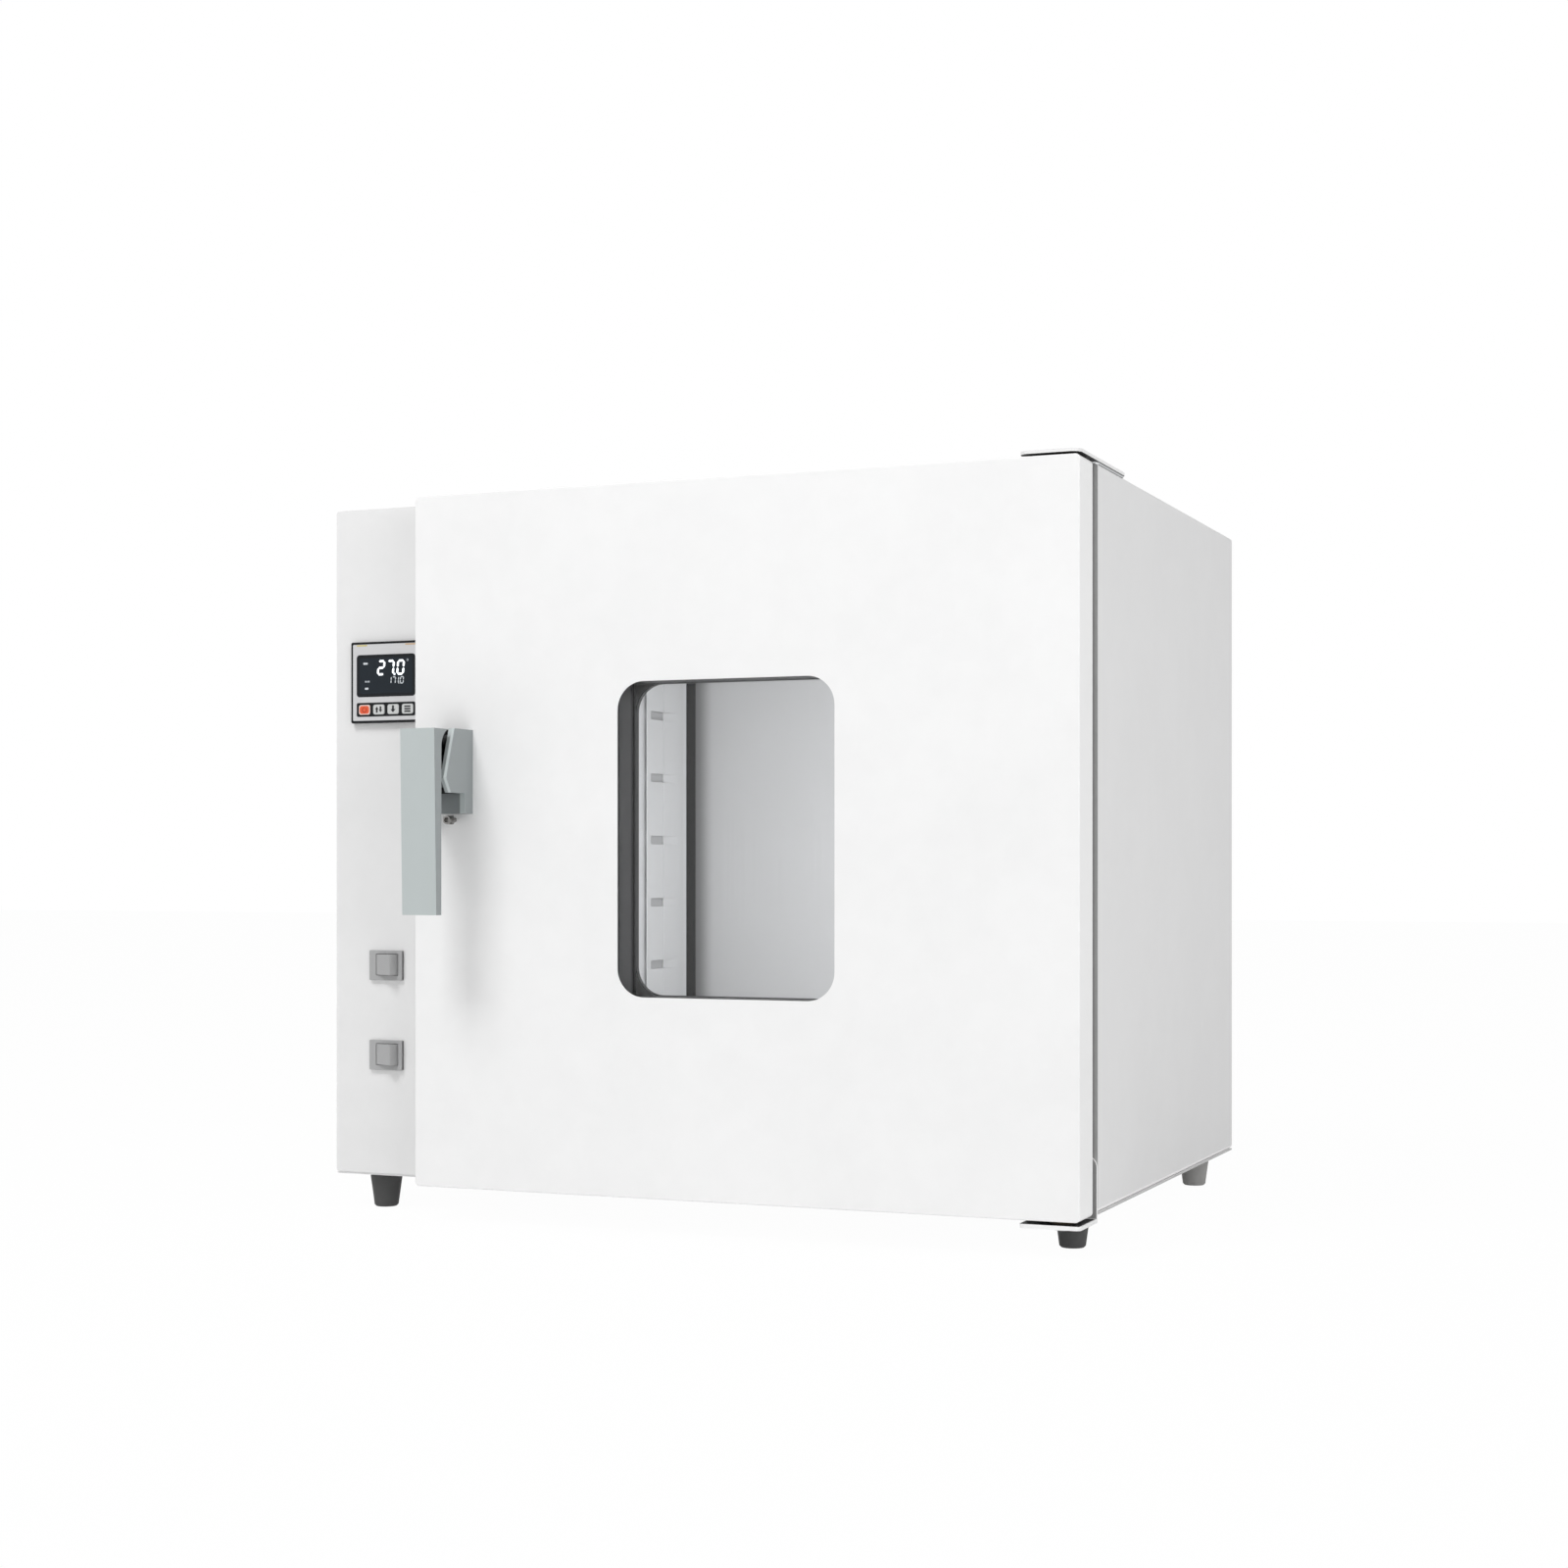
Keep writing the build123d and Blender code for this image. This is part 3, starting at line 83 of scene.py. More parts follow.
# Sizes that finishes and small pieces follow, each measured on its own solid piece
BEZEL_RIM = 2.2 * MM
STRIP_WIDTH = 61.0 * MM
STRIP_HEIGHT = 12.6 * MM
LENS_BORDER_WIDTH = 3.0 * MM
KEY_RIM_WIDTH = 0.9 * MM
COLLAR_INSET = 11.6 * MM
COLLAR_CORNER = 24.0 * MM
SHELL_HEM = 2.8 * MM
# Painted shade on the front frame beside the door's hinged edge: its width, and the width of its darkest
# part
SHADE_MARGIN_WIDTH = 4.1 * MM
SHADE_MARGIN_DARKEST = 1.2 * MM
BRACKET_PLATE = 3.3 * MM
LEG_FOOT = 3.4 * MM
SHEET = 1.2 * MM
# Width of the painted shade on the back wall beside the baffle
BAFFLE_SHADE_WIDTH = 20.0 * MM
POST_FLANGE = 12.0 * MM
# Painted shade on the air baffle: its length and edge behind the rear shelf post, and where its darker
# front part stops and fades
POST_SHADE_LENGTH = 74.0 * MM
POST_SHADE_EDGE = 3.0 * MM
FRONT_SHADE_GAP = 9.6 * MM
FRONT_SHADE_FADE = 34.0 * MM
MOUNT_FOOT = 17.2 * MM
CHEEK_INSIDE = 13.25 * MM
SILL_HEIGHT = 5.0 * MM
PIVOT_HEIGHT = 16.0 * MM
PIVOT_FADE = 4.0 * MM
LEVER_HEAD = 12.35 * MM
# Height over which the painted shade on the lever fades in above the cheeks' foot
HEAD_SHADE_HEIGHT = 1.4 * MM
TONGUE_SIDE = 8.1 * MM

# Display: width, height and stroke of each line's figures, and its foot under the window's top
VALUE_FIGURE = (8.0 * MM, 13.8 * MM, 2.0 * MM)
VALUE_FOOT = 18.8 * MM
SET_FIGURE = (4.0 * MM, 6.6 * MM, 0.95 * MM)
SET_FOOT = 26.6 * MM
FIGURE_LEAN = tan(radians(5.0))

# Paint and plastic colours, linear
DOOR_WHITE = (0.905, 0.905, 0.905)
PANEL_WHITE = (0.850, 0.850, 0.850)
SHELL_WHITE = (0.790, 0.790, 0.792)
# Near white painted along the shell's hem as a highlight
HEM_HIGHLIGHT_WHITE = (0.970, 0.970, 0.970)
TUNNEL_GREY = (0.088, 0.088, 0.090)
TUNNEL_BLACK = (0.030, 0.030, 0.032)
# Lit and shaded copies of the handle's grey paint: front faces painted lighter, sides darker
LIT_FRONT_GREY = (0.500, 0.545, 0.545)
SHADED_SIDE_GREY = (0.300, 0.325, 0.330)
SWITCH_GREY = (0.420, 0.422, 0.425)
FRONT_RUBBER = (0.060, 0.060, 0.060)
# The feet's rubber painted much lighter for the rear feet, as painted light
REAR_RUBBER_LIT = (0.33, 0.327, 0.320)
BEZEL_SILVER = (0.640, 0.640, 0.650)
BEZEL_BLACK = (0.004, 0.005, 0.007)
LENS_SLATE = (0.008, 0.014, 0.021)
LENS_BORDER = (0.004, 0.006, 0.009)
# Near black painted as shade: behind and beside the baffle, and on the baffle behind the rear shelf post
DEEP_SHADE = (0.030, 0.030, 0.031)
# Black painted as shade in gaps: under the top hinge plate, between the handle's cheeks, on the lever
# and on the hook inside the mount
GAP_SHADE_BLACK = (0.010, 0.010, 0.011)
# Grey painted as shade in the pocket under the handle's cheeks
POCKET_SHADE_GREY = (0.215, 0.235, 0.240)
KEY_PALE = (0.640, 0.650, 0.645)
KEY_ORANGE = (0.780, 0.110, 0.035)
KEY_RIM = (0.860, 0.640, 0.580)
INK = (0.012, 0.012, 0.014)


class Signal:
    """A socket's value in one node tree, ready for sums."""

    def __init__(self, finish, socket):
        self.finish = finish
        self.socket = socket

    def math(self, operation, other=None):
        """The value, alone or with another, through one Math node."""
        sockets = {0: self} if other is None else {0: self, 1: other}
        return self.finish.add("ShaderNodeMath", {"operation": operation}, sockets)

    def __add__(self, other):
        return self.math("ADD", other)

    __radd__ = __add__

    def __sub__(self, other):
        return self.math("SUBTRACT", other)

    def __rsub__(self, other):
        return self.finish.add("ShaderNodeMath", {"operation": "SUBTRACT"}, {0: other, 1: self})

    def __mul__(self, other):
        return self.math("MULTIPLY", other)

    __rmul__ = __mul__

    def size(self):
        return self.math("ABSOLUTE")

    def between(self, low, high):
        """0 at low, 1 at high, and a smooth step between them."""
        return self.finish.add("ShaderNodeMapRange", {"interpolation_type": "SMOOTHSTEP"},
                               {"Value": self, "From Min": low, "From Max": high})


def feed(tree, socket, value):
    """Gives a socket its value or its link."""
    if isinstance(value, Signal):
        value = value.socket
    if isinstance(value, bpy.types.NodeSocket):
        tree.links.new(value, socket)
    else:
        socket.default_value = value


def set_stops(ramp, stops):
    """Places a ramp's stops, each a position and a colour."""
    while len(ramp.elements) < len(stops):
        ramp.elements.new(1.0)
    for element, (position, colour) in zip(ramp.elements, stops):
        element.position = position
        element.color = (*colour, 1.0)


def add_node(tree, kind, settings=None, sockets=None):
    """A node: its settings are set first, then its sockets take values or links."""
    node = tree.nodes.new(kind)
    for key, value in (settings or {}).items():
        if key == "stops":
            set_stops(node.color_ramp, value)
        else:
            setattr(node, key, value)
    for key, value in (sockets or {}).items():
        feed(tree, node.inputs[key], value)
    return node


class Finish:
    """One material: its node tree, its shader and short ways to add to them."""

    def __init__(self, name, colour, roughness, metallic=0.0):
        self.material = bpy.data.materials.new(name)
        self.material.use_nodes = True
        self.tree = self.material.node_tree
        self.shader = self.tree.nodes["Principled BSDF"]
        self.output = self.tree.nodes["Material Output"]
        self.set("Base Color", (*colour, 1.0))
        self.set("Roughness", roughness)
        self.set("Metallic", metallic)
        self.material.diffuse_color = (*colour, 1.0)

    def add(self, kind, settings=None, sockets=None, out=0):
        """One output of a new node."""
        return Signal(self, add_node(self.tree, kind, settings, sockets).outputs[out])

    def dull(self, level):
        """Weakens the shader's mirror-like part all over."""
        self.set("Specular IOR Level", level)

    def set(self, socket, value):
        """Gives a socket of the shader a value or a link."""
        feed(self.tree, self.shader.inputs[socket], value)

    def show(self, surface):
        """Makes another shader than the usual one the surface."""
        feed(self.tree, self.output.inputs["Surface"], surface)

    def place(self, scale=(1.0, 1.0, 1.0)):
        """The point on the object, stretched for a pattern."""
        point = self.add("ShaderNodeTexCoord", None, None, "Object")
        return self.add("ShaderNodeMapping", None, {"Vector": point, "Scale": scale})

    def axis(self, number):
        """One coordinate of the point: 0 across, 1 in depth, 2 up."""
        point = self.add("ShaderNodeTexCoord", None, None, "Object")
        return self.add("ShaderNodeSeparateXYZ", None, {0: point}, number)

    def facing(self, number):
        """How far the surface faces right (0), back (1) or up (2), from -1 to 1."""
        normal = self.add("ShaderNodeTexCoord", None, None, "Normal")
        return self.add("ShaderNodeSeparateXYZ", None, {0: normal}, number)

    def noise(self, scale, detail=3.0, stretch=(1.0, 1.0, 1.0), roughness=0.5):
        """Cloudy pattern; scale is in cycles a metre."""
        return self.add("ShaderNodeTexNoise", {"noise_dimensions": "3D"},
                        {"Vector": self.place(stretch), "Scale": scale, "Detail": detail,
                         "Roughness": roughness})

    def cells(self, scale):
        """Crystal-like cells; scale is in cells a metre."""
        return self.add("ShaderNodeTexVoronoi", {"feature": "F1"},
                        {"Vector": self.place(), "Scale": scale}, "Color")

    def blend(self, share, first, second):
        """A colour between two, by a share."""
        sockets = {0: share}
        for key, value in ((6, first), (7, second)):
            sockets[key] = value if isinstance(value, Signal) else (*value, 1.0)
        return self.add("ShaderNodeMix", {"data_type": "RGBA"}, sockets, 2)

    def bump(self, height, distance, strength):
        """Relief in the surface's normal."""
        return self.add("ShaderNodeBump", None, {
            "Height": height, "Distance": distance, "Strength": strength})

    def tile_mask(self, x, z, width, height, corner, edge):
        """1 inside a rounded tile on the front, 0 outside, with a soft edge."""
        across = (self.axis(0) - x).size() - (width / 2 - corner)
        up = (self.axis(2) - z).size() - (height / 2 - corner)
        across = across.math("MAXIMUM", 0.0)
        up = up.math("MAXIMUM", 0.0)
        away = (across * across + up * up).math("SQRT")
        return 1.0 - away.between(corner - edge, corner + edge)


def tinted(colour, share):
    """A colour made lighter or darker by a share."""
    return tuple(part * share for part in colour)


def powder(name, colour, roughness=0.42):
    """Baked white powder: faint clouding from the spray, fine orange peel and a soft sheen."""
    coat = Finish(name, colour, roughness)
    clouds = coat.noise(11.0, 4.0, roughness=0.62)
    patches = coat.noise(46.0, 3.0)
    share = clouds.between(0.30, 0.70) * 0.7 + patches.between(0.35, 0.65) * 0.3
    shade = coat.blend(share, tinted(colour, 0.982), tinted(colour, 1.012))
    coat.set("Base Color", shade)
    coat.set("Roughness", patches * 0.10 + (roughness - 0.05))
    peel = coat.noise(620.0, 2.0)
    coat.set("Normal", coat.bump(peel, 0.00012, 0.35))
    return coat, shade


def powder_coat(name, colour, roughness=0.42):
    """Plain painted sheet."""
    return powder(name, colour, roughness)[0].material


def shell_finish():
    """Outer shell: its lowest edge, the hem, is painted lighter as a highlight."""
    coat, shade = powder("shell_powder", SHELL_WHITE, 0.46)
    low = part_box("outer_shell")[0].z
    # Painted highlight: a lighter band along the lowest edge
    hem = 1.0 - coat.axis(2).between(low + SHELL_HEM, low + SHELL_HEM + SOFT)
    coat.set("Base Color", coat.blend(hem, shade, HEM_HIGHLIGHT_WHITE))
    return coat.material


def frame_finish():
    """Front frame: its margin beside the door's hinged edge is painted grey, as shade from the door."""
    coat, shade = powder("frame_powder", PANEL_WHITE)
    across = coat.axis(0)
    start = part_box("front_frame")[1].x - SHADE_MARGIN_WIDTH
    # Painted shade: two greys on the margin, the darker along its inner side
    margin = across.between(start - SOFT / 2, start)
    dark = 1.0 - across.between(start + SHADE_MARGIN_DARKEST, start + SHADE_MARGIN_DARKEST + SOFT)
    grey = coat.blend(dark, tinted(PANEL_WHITE, 0.52), tinted(PANEL_WHITE, 0.36))
    coat.set("Base Color", coat.blend(margin, shade, grey))
    return coat.material


def pan_finish():
    """Base pan: its side faces under the shell are painted darker, as shade."""
    coat, shade = powder("pan_powder", DOOR_WHITE)
    # Painted shade on the side faces
    pan_side_shade = coat.facing(0).between(0.5, 0.8)
    coat.set("Base Color", coat.blend(pan_side_shade, shade, tinted(DOOR_WHITE, 0.55)))
    return coat.material


def bracket_finish():
    """Bottom hinge bracket: the front of its leg is painted grey, as shade from the door, like the
    frame's margin.
    """
    coat, shade = powder("bracket_powder", DOOR_WHITE)
    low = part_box("bottom_hinge_bracket")[0].z
    # Painted shade on the front of the leg, behind the door
    leg = coat.axis(2).between(low + LEG_FOOT, low + LEG_FOOT + SOFT)
    forward = (coat.facing(1) * -1.0).between(0.6, 0.9)
    coat.set("Base Color", coat.blend(leg * forward, shade, tinted(PANEL_WHITE, 0.40)))
    return coat.material


def plate_finish():
    """Top hinge plate: white on top, and painted black underneath as shade over the door."""
    coat, shade = powder("plate_powder", PANEL_WHITE)
    # Painted shade on the underside, in the gap over the door
    under = (coat.facing(2) * -1.0).between(0.6, 0.9)
    coat.set("Base Color", coat.blend(under, shade, GAP_SHADE_BLACK))
    return coat.material


def brushed(name, colour, roughness=0.34):
    """Sheet rolled and brushed upright, and from front to back on level faces, and its shade."""
    steel = Finish(name, colour, roughness, 1.0)
    fine = 900.0
    grain = 5.0
    upright = steel.noise(1.0, 3.0, (fine, fine, grain))
    level = steel.noise(1.0, 3.0, (fine, grain, fine))
    flat = steel.facing(2).size().between(0.6, 0.8)
    strokes = upright + (level - upright) * flat
    smear = steel.noise(9.0, 4.0)
    shade = steel.blend(strokes * 0.6 + smear * 0.4, tinted(colour, 0.90), tinted(colour, 1.07))
    steel.set("Base Color", shade)
    steel.set("Roughness", strokes * 0.16 + smear * 0.08 + (roughness - 0.12))
    steel.set("Normal", steel.bump(strokes, 0.00004, 0.25))
    return steel, shade


def brushed_steel(name, colour, roughness, metallic=1.0):
    """Plain brushed sheet, less metallic where heat dulls it."""
    steel = brushed(name, colour, roughness)[0]
    steel.set("Metallic", metallic)
    return steel.material


def liner_steel(name, colour):
    """Chamber's steel, dull all over, with painted shade beside the fan's baffle and near black painted
    shade behind it.
    """
    steel, shade = brushed(name, colour, 0.44)
    fan_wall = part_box("air_baffle")[1].x
    # Painted shade: near black in the fan space behind the baffle, and a softer dark band on the back
    # wall beside it
    plenum_shade = 1.0 - steel.axis(0).between(fan_wall - SHEET, fan_wall)
    baffle_shade = 1.0 - steel.axis(0).between(fan_wall, fan_wall + BAFFLE_SHADE_WIDTH)
    lighter_part = steel.blend(baffle_shade * 0.60, shade, DEEP_SHADE)
    steel.set("Base Color", steel.blend(plenum_shade, lighter_part, DEEP_SHADE))
    steel.set("Metallic", (1.0 - plenum_shade) * 0.04)
    return steel.material


def door_steel(name, colour):
    """Door's inner sheet, blackened on the collar round the window."""
    steel, shade = brushed(name, colour)
    collar = steel.tile_mask(*front_tile(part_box("window_tunnel"), COLLAR_INSET), COLLAR_CORNER, SHARP)
    steel.set("Base Color", steel.blend(collar, shade, TUNNEL_BLACK))
    steel.set("Metallic", 1.0 - collar)
    return steel.material


def baffle_steel(name, colour):
    """Air baffle: painted shade darkens it towards the front and behind the rear shelf post; its rear
    edge stays light.
    """
    steel, shade = brushed(name, colour, 0.40)
    depth = steel.axis(1)
    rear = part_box("left_rack_posts")[1].y - POST_FLANGE
    front = rear - POST_SHADE_LENGTH
    # Painted shade: darker behind the rear shelf post and darker towards the front
    post_shade = depth.between(front, front + POST_SHADE_EDGE) * (1.0 - depth.between(rear - POST_SHADE_EDGE, rear))
    lighter_part = depth.between(front - FRONT_SHADE_GAP - FRONT_SHADE_FADE, front - FRONT_SHADE_GAP)
    face = steel.blend(lighter_part, tinted(colour, 0.66), shade)
    steel.set("Base Color", steel.blend(post_shade * 0.35, face, DEEP_SHADE))
    steel.set("Metallic", 0.2)
    return steel.material


def galvanised(name, colour):
    """Zinc-coated sheet with its spangle of crystals."""
    zinc = Finish(name, colour, 0.40, 1.0)
    crystal = zinc.add("ShaderNodeSeparateColor", None, {0: zinc.cells(160.0)})
    bloom = zinc.noise(30.0, 4.0)
    zinc.set("Base Color", zinc.blend(crystal, tinted(colour, 0.86), tinted(colour, 1.10)))
    zinc.set("Roughness", crystal * 0.14 + bloom * 0.14 + 0.26)
    zinc.set("Normal", zinc.bump(zinc.noise(700.0, 2.0), 0.00003, 0.3))
    return zinc.material


def plated(name, colour, roughness):
    """Smooth plated or turned metal with faint tool marks."""
    metal = Finish(name, colour, roughness, 1.0)
    marks = metal.noise(260.0, 3.0)
    stain = metal.noise(24.0, 3.0)
    metal.set("Base Color", metal.blend(stain, tinted(colour, 0.88), tinted(colour, 1.06)))
    metal.set("Roughness", marks * 0.16 + (roughness - 0.06))
    metal.set("Normal", metal.bump(marks, 0.00003, 0.3))
    return metal.material


def cast_handle(name, front, side):
    """Painted zinc casting: its front faces are painted lighter than its sides, as light and shade."""
    cast = Finish(name, side, 0.44, 0.15)
    # Painted light and shade: faces turned to the front take the lighter grey, the rest the darker
    forward = (cast.facing(1) * -1.0).between(0.30, 0.60)
    haze = cast.noise(38.0, 4.0)
    grain = cast.noise(1500.0, 2.0)
    dark = cast.blend(haze, tinted(side, 0.94), tinted(side, 1.05))
    light = cast.blend(haze, tinted(front, 0.97), tinted(front, 1.02))
    paint = cast.blend(forward, dark, light)
    cast.set("Base Color", paint)
    cast.set("Roughness", grain * 0.12 + haze * 0.08 + 0.36)
    cast.set("Normal", cast.bump(grain, 0.00005, 0.4))
    return cast, paint


def mount_finish():
    """Handle's mount: painted black between its cheeks and darker in the pocket under them, both as
    shade.
    """
    cast, paint = cast_handle("base_paint", LIT_FRONT_GREY, SHADED_SIDE_GREY)
    between = 1.0 - (cast.axis(0) - handle_x).size().between(CHEEK_INSIDE, CHEEK_INSIDE + SHARP)
    height = cast.axis(2)
    above = height.between(cheek_bottom - SHARP, cheek_bottom)
    sill_top = cheek_bottom + SILL_HEIGHT
    sill = height.between(sill_top, sill_top + 2 * SHARP)
    pivot_shade = cheek_bottom + PIVOT_HEIGHT
    pivot = height.between(pivot_shade, pivot_shade + PIVOT_FADE)
    # Painted shade: black in the gap between the cheeks, grey in the pocket under them
    black = between * (above - sill + pivot)
    pocket = cast.blend(between, paint, POCKET_SHADE_GREY)
    cast.set("Base Color", cast.blend(black, pocket, GAP_SHADE_BLACK))
    return cast.material


def lever_finish():
    """Pull lever: its tongue and the back of its head are painted black, as shade inside the mount."""
    cast, paint = cast_handle("lever_paint", LIT_FRONT_GREY, SHADED_SIDE_GREY)
    head_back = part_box("handle_lever")[0].y + LEVER_HEAD
    # Painted shade: black on the tongue and the back of the head, inside the mount
    back = cast.axis(1).between(head_back, head_back + SOFT / 2)
    head_shade = back * cast.axis(2).between(cheek_bottom, cheek_bottom + HEAD_SHADE_HEIGHT)
    tongue = 1.0 - (cast.axis(0) - handle_x).size().between(TONGUE_SIDE, TONGUE_SIDE + SHARP)
    behind = cast.facing(1).between(0.10, 0.35)
    cast.set("Base Color", cast.blend(head_shade * tongue.math("MAXIMUM", behind), paint, GAP_SHADE_BLACK))
    return cast.material


def hook_finish():
    """Latch hook: bright zinc behind the door, painted black as shade where it lies between the mount's
    cheeks.
    """
    metal = Finish("hook_zinc", (0.62, 0.63, 0.64), 0.34, 1.0)
    marks = metal.noise(260.0, 3.0)
    # Painted shade: black where the hook lies between the mount's cheeks
    inside = 1.0 - (metal.axis(0) - handle_x).size().between(CHEEK_INSIDE, CHEEK_INSIDE + SHARP)
    shade = metal.blend(marks, (0.55, 0.56, 0.57), (0.66, 0.67, 0.68))
    metal.set("Base Color", metal.blend(inside, shade, GAP_SHADE_BLACK))
    metal.set("Metallic", 1.0 - inside)
    metal.set("Roughness", marks * 0.16 + 0.28)
    metal.set("Normal", metal.bump(marks, 0.00003, 0.3))
    return metal.material


def moulded(name, colour, roughness=0.46, grain=1400.0, side_shade=1.0):
    """Moulded plastic with a fine spark-eroded texture. Its right-hand faces may be painted darker, as
    shade.
    """
    plastic = Finish(name, colour, roughness)
    pits = plastic.noise(grain, 2.0)
    flow = plastic.noise(32.0, 3.0)
    tone = plastic.blend(flow, tinted(colour, 0.95), tinted(colour, 1.04))
    # Painted shade on right-hand faces
    if side_shade < 1.0:
        right = plastic.facing(0).between(0.75, 0.95)
        tone = plastic.blend(right, tone, tinted(colour, side_shade))
    plastic.set("Base Color", tone)
    plastic.set("Roughness", pits * 0.12 + (roughness - 0.06))
    plastic.set("Normal", plastic.bump(pits, 0.00005, 0.45))
    return plastic.material


def rubber(name, colour):
    """Moulded rubber with a dry bloom."""
    soft = Finish(name, colour, 0.72)
    bloom = soft.noise(120.0, 4.0)
    grit = soft.noise(1300.0, 2.0)
    soft.set("Base Color", soft.blend(bloom, tinted(colour, 0.85), tinted(colour, 1.22)))
    soft.set("Roughness", bloom * 0.16 + 0.64)
    soft.set("Normal", soft.bump(grit, 0.00008, 0.5))
    return soft.material


def silicone(name, colour):
    """Extruded silicone: satin, with faint lines along its run."""
    seal = Finish(name, colour, 0.52)
    lines = seal.noise(1.0, 2.0, (900.0, 1600.0, 900.0))
    bloom = seal.noise(40.0, 3.0)
    seal.set("Base Color", seal.blend(bloom, tinted(colour, 0.92), tinted(colour, 1.06)))
    seal.set("Roughness", bloom * 0.12 + 0.46)
    seal.set("Normal", seal.bump(lines, 0.00005, 0.3))
    return seal.material


def wool(name, colour):
    """Mineral wool: matted fibres with darker flecks."""
    mat = Finish(name, colour, 0.95)
    fibres = mat.noise(1.0, 6.0, (240.0, 900.0, 240.0), 0.7)
    tufts = mat.noise(70.0, 5.0)
    tangle = fibres * 0.6 + tufts * 0.4
    mat.set("Base Color", mat.blend(tangle, tinted(colour, 0.55), tinted(colour, 1.2)))
    mat.set("Normal", mat.bump(fibres + tufts, 0.0012, 0.8))
    return mat.material


def heater_oxide(name):
    """Heater sheath, dulled and tinted by heat."""
    sheath = Finish(name, (0.20, 0.18, 0.16), 0.5, 0.9)
    scale = sheath.noise(90.0, 5.0)
    tints = [(0.30, (0.09, 0.08, 0.08)), (0.55, (0.24, 0.20, 0.16)), (0.75, (0.34, 0.31, 0.29))]
    sheath.set("Base Color", sheath.add("ShaderNodeValToRGB", {"stops": tints}, {0: scale}))
    sheath.set("Roughness", scale * 0.3 + 0.34)
    sheath.set("Normal", sheath.bump(sheath.noise(500.0, 3.0), 0.00006, 0.5))
    return sheath.material


def clear_pane(name, tint):
    """Window glass: what is behind shows through, and slanting light glances off."""
    pane = Finish(name, tint, 0.02)
    clear = pane.add("ShaderNodeBsdfTransparent", None, {"Color": (*tint, 1.0)})
    gloss = pane.add("ShaderNodeBsdfAnisotropic", {"distribution": "GGX"},
                     {"Color": (1.0, 1.0, 1.0, 1.0), "Roughness": 0.02})
    glance = pane.add("ShaderNodeFresnel", None, {"IOR": 1.22})
    both = pane.add("ShaderNodeMixShader", None, {0: glance, 1: clear, 2: gloss})
    pane.show(both)
    pane.tree.nodes.remove(pane.shader)
    return pane.material


def glowing(name, colour, strength):
    """Lit figure on the display."""
    lit = Finish(name, colour, 0.4)
    lit.set("Emission Color", (*colour, 1.0))
    lit.set("Emission Strength", strength)
    return lit.material


def dress(material, *names):
    """Gives solid pieces their finish."""
    for name in names:
        for slot in frame["nodes"][name].material_slots:
            slot.material = material


def front_tile(box, inset):
    """A piece's front less a border all round: its middle across and up, its width and its height."""
    low, high = box
    return ((low.x + high.x) / 2, (low.z + high.z) / 2,
            high.x - low.x - 2 * inset, high.z - low.z - 2 * inset)


# Places on the handle and the controller, taken from the solid pieces
mount_low, mount_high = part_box("handle_base")
handle_x = (mount_low.x + mount_high.x) / 2
cheek_bottom = mount_low.z + MOUNT_FOOT
bezel_low, bezel_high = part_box("controller_bezel")
lens_low, lens_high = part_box("display_lens")
keys = [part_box(f"controller_key_{number}") for number in range(1, 5)]
strip_x = (keys[0][0].x + keys[3][1].x) / 2
strip_z = (keys[0][0].z + keys[0][1].z) / 2


def bezel_finish():
    """Controller's frame: a black rim, a silver face and a black strip round the keys."""
    face = Finish("bezel_face", BEZEL_SILVER, 0.36)
    face.dull(0.25)
    crisp = 0.06 * MM
    inside = face.tile_mask(*front_tile((bezel_low, bezel_high), BEZEL_RIM), 1.0 * MM, crisp)
    strip = face.tile_mask(strip_x, strip_z, STRIP_WIDTH, STRIP_HEIGHT, 1.5 * MM, crisp)
    silver = inside * (1.0 - strip)
    grain = face.noise(1.0, 3.0, (40.0, 2600.0, 2600.0))
    sheen = face.blend(grain, tinted(BEZEL_SILVER, 0.93), tinted(BEZEL_SILVER, 1.08))
    face.set("Base Color", face.blend(silver, BEZEL_BLACK, sheen))
    face.set("Metallic", silver * 0.4)
    face.set("Roughness", grain * 0.12 + 0.30)
    return face.material


def lens_finish():
    """Tinted display window: a darker border round the lit field."""
    lens = Finish("display_slate", LENS_SLATE, 0.16)
    lens.dull(0.25)
    tile = front_tile((lens_low, lens_high), LENS_BORDER_WIDTH)
    field = lens.tile_mask(*tile, 1.5 * MM, 0.5 * MM)
    cloud = lens.noise(60.0, 3.0)
    deep = lens.blend(cloud, tinted(LENS_SLATE, 0.92), tinted(LENS_SLATE, 1.08))
    lens.set("Base Color", lens.blend(field, LENS_BORDER, deep))
    lens.set("Roughness", cloud * 0.06 + 0.12)
    return lens.material


def orange_key_finish(box):
    """The first key: an orange field with a pale rim."""
    cap = Finish("key_orange_cap", KEY_ORANGE, 0.38)
    inside = cap.tile_mask(*front_tile(box, KEY_RIM_WIDTH), 2.4 * MM, 0.25 * MM)
    grain = cap.noise(900.0, 2.0)
    cap.set("Base Color", cap.blend(inside, KEY_RIM, KEY_ORANGE))
    cap.set("Roughness", grain * 0.1 + 0.33)
    return cap.material


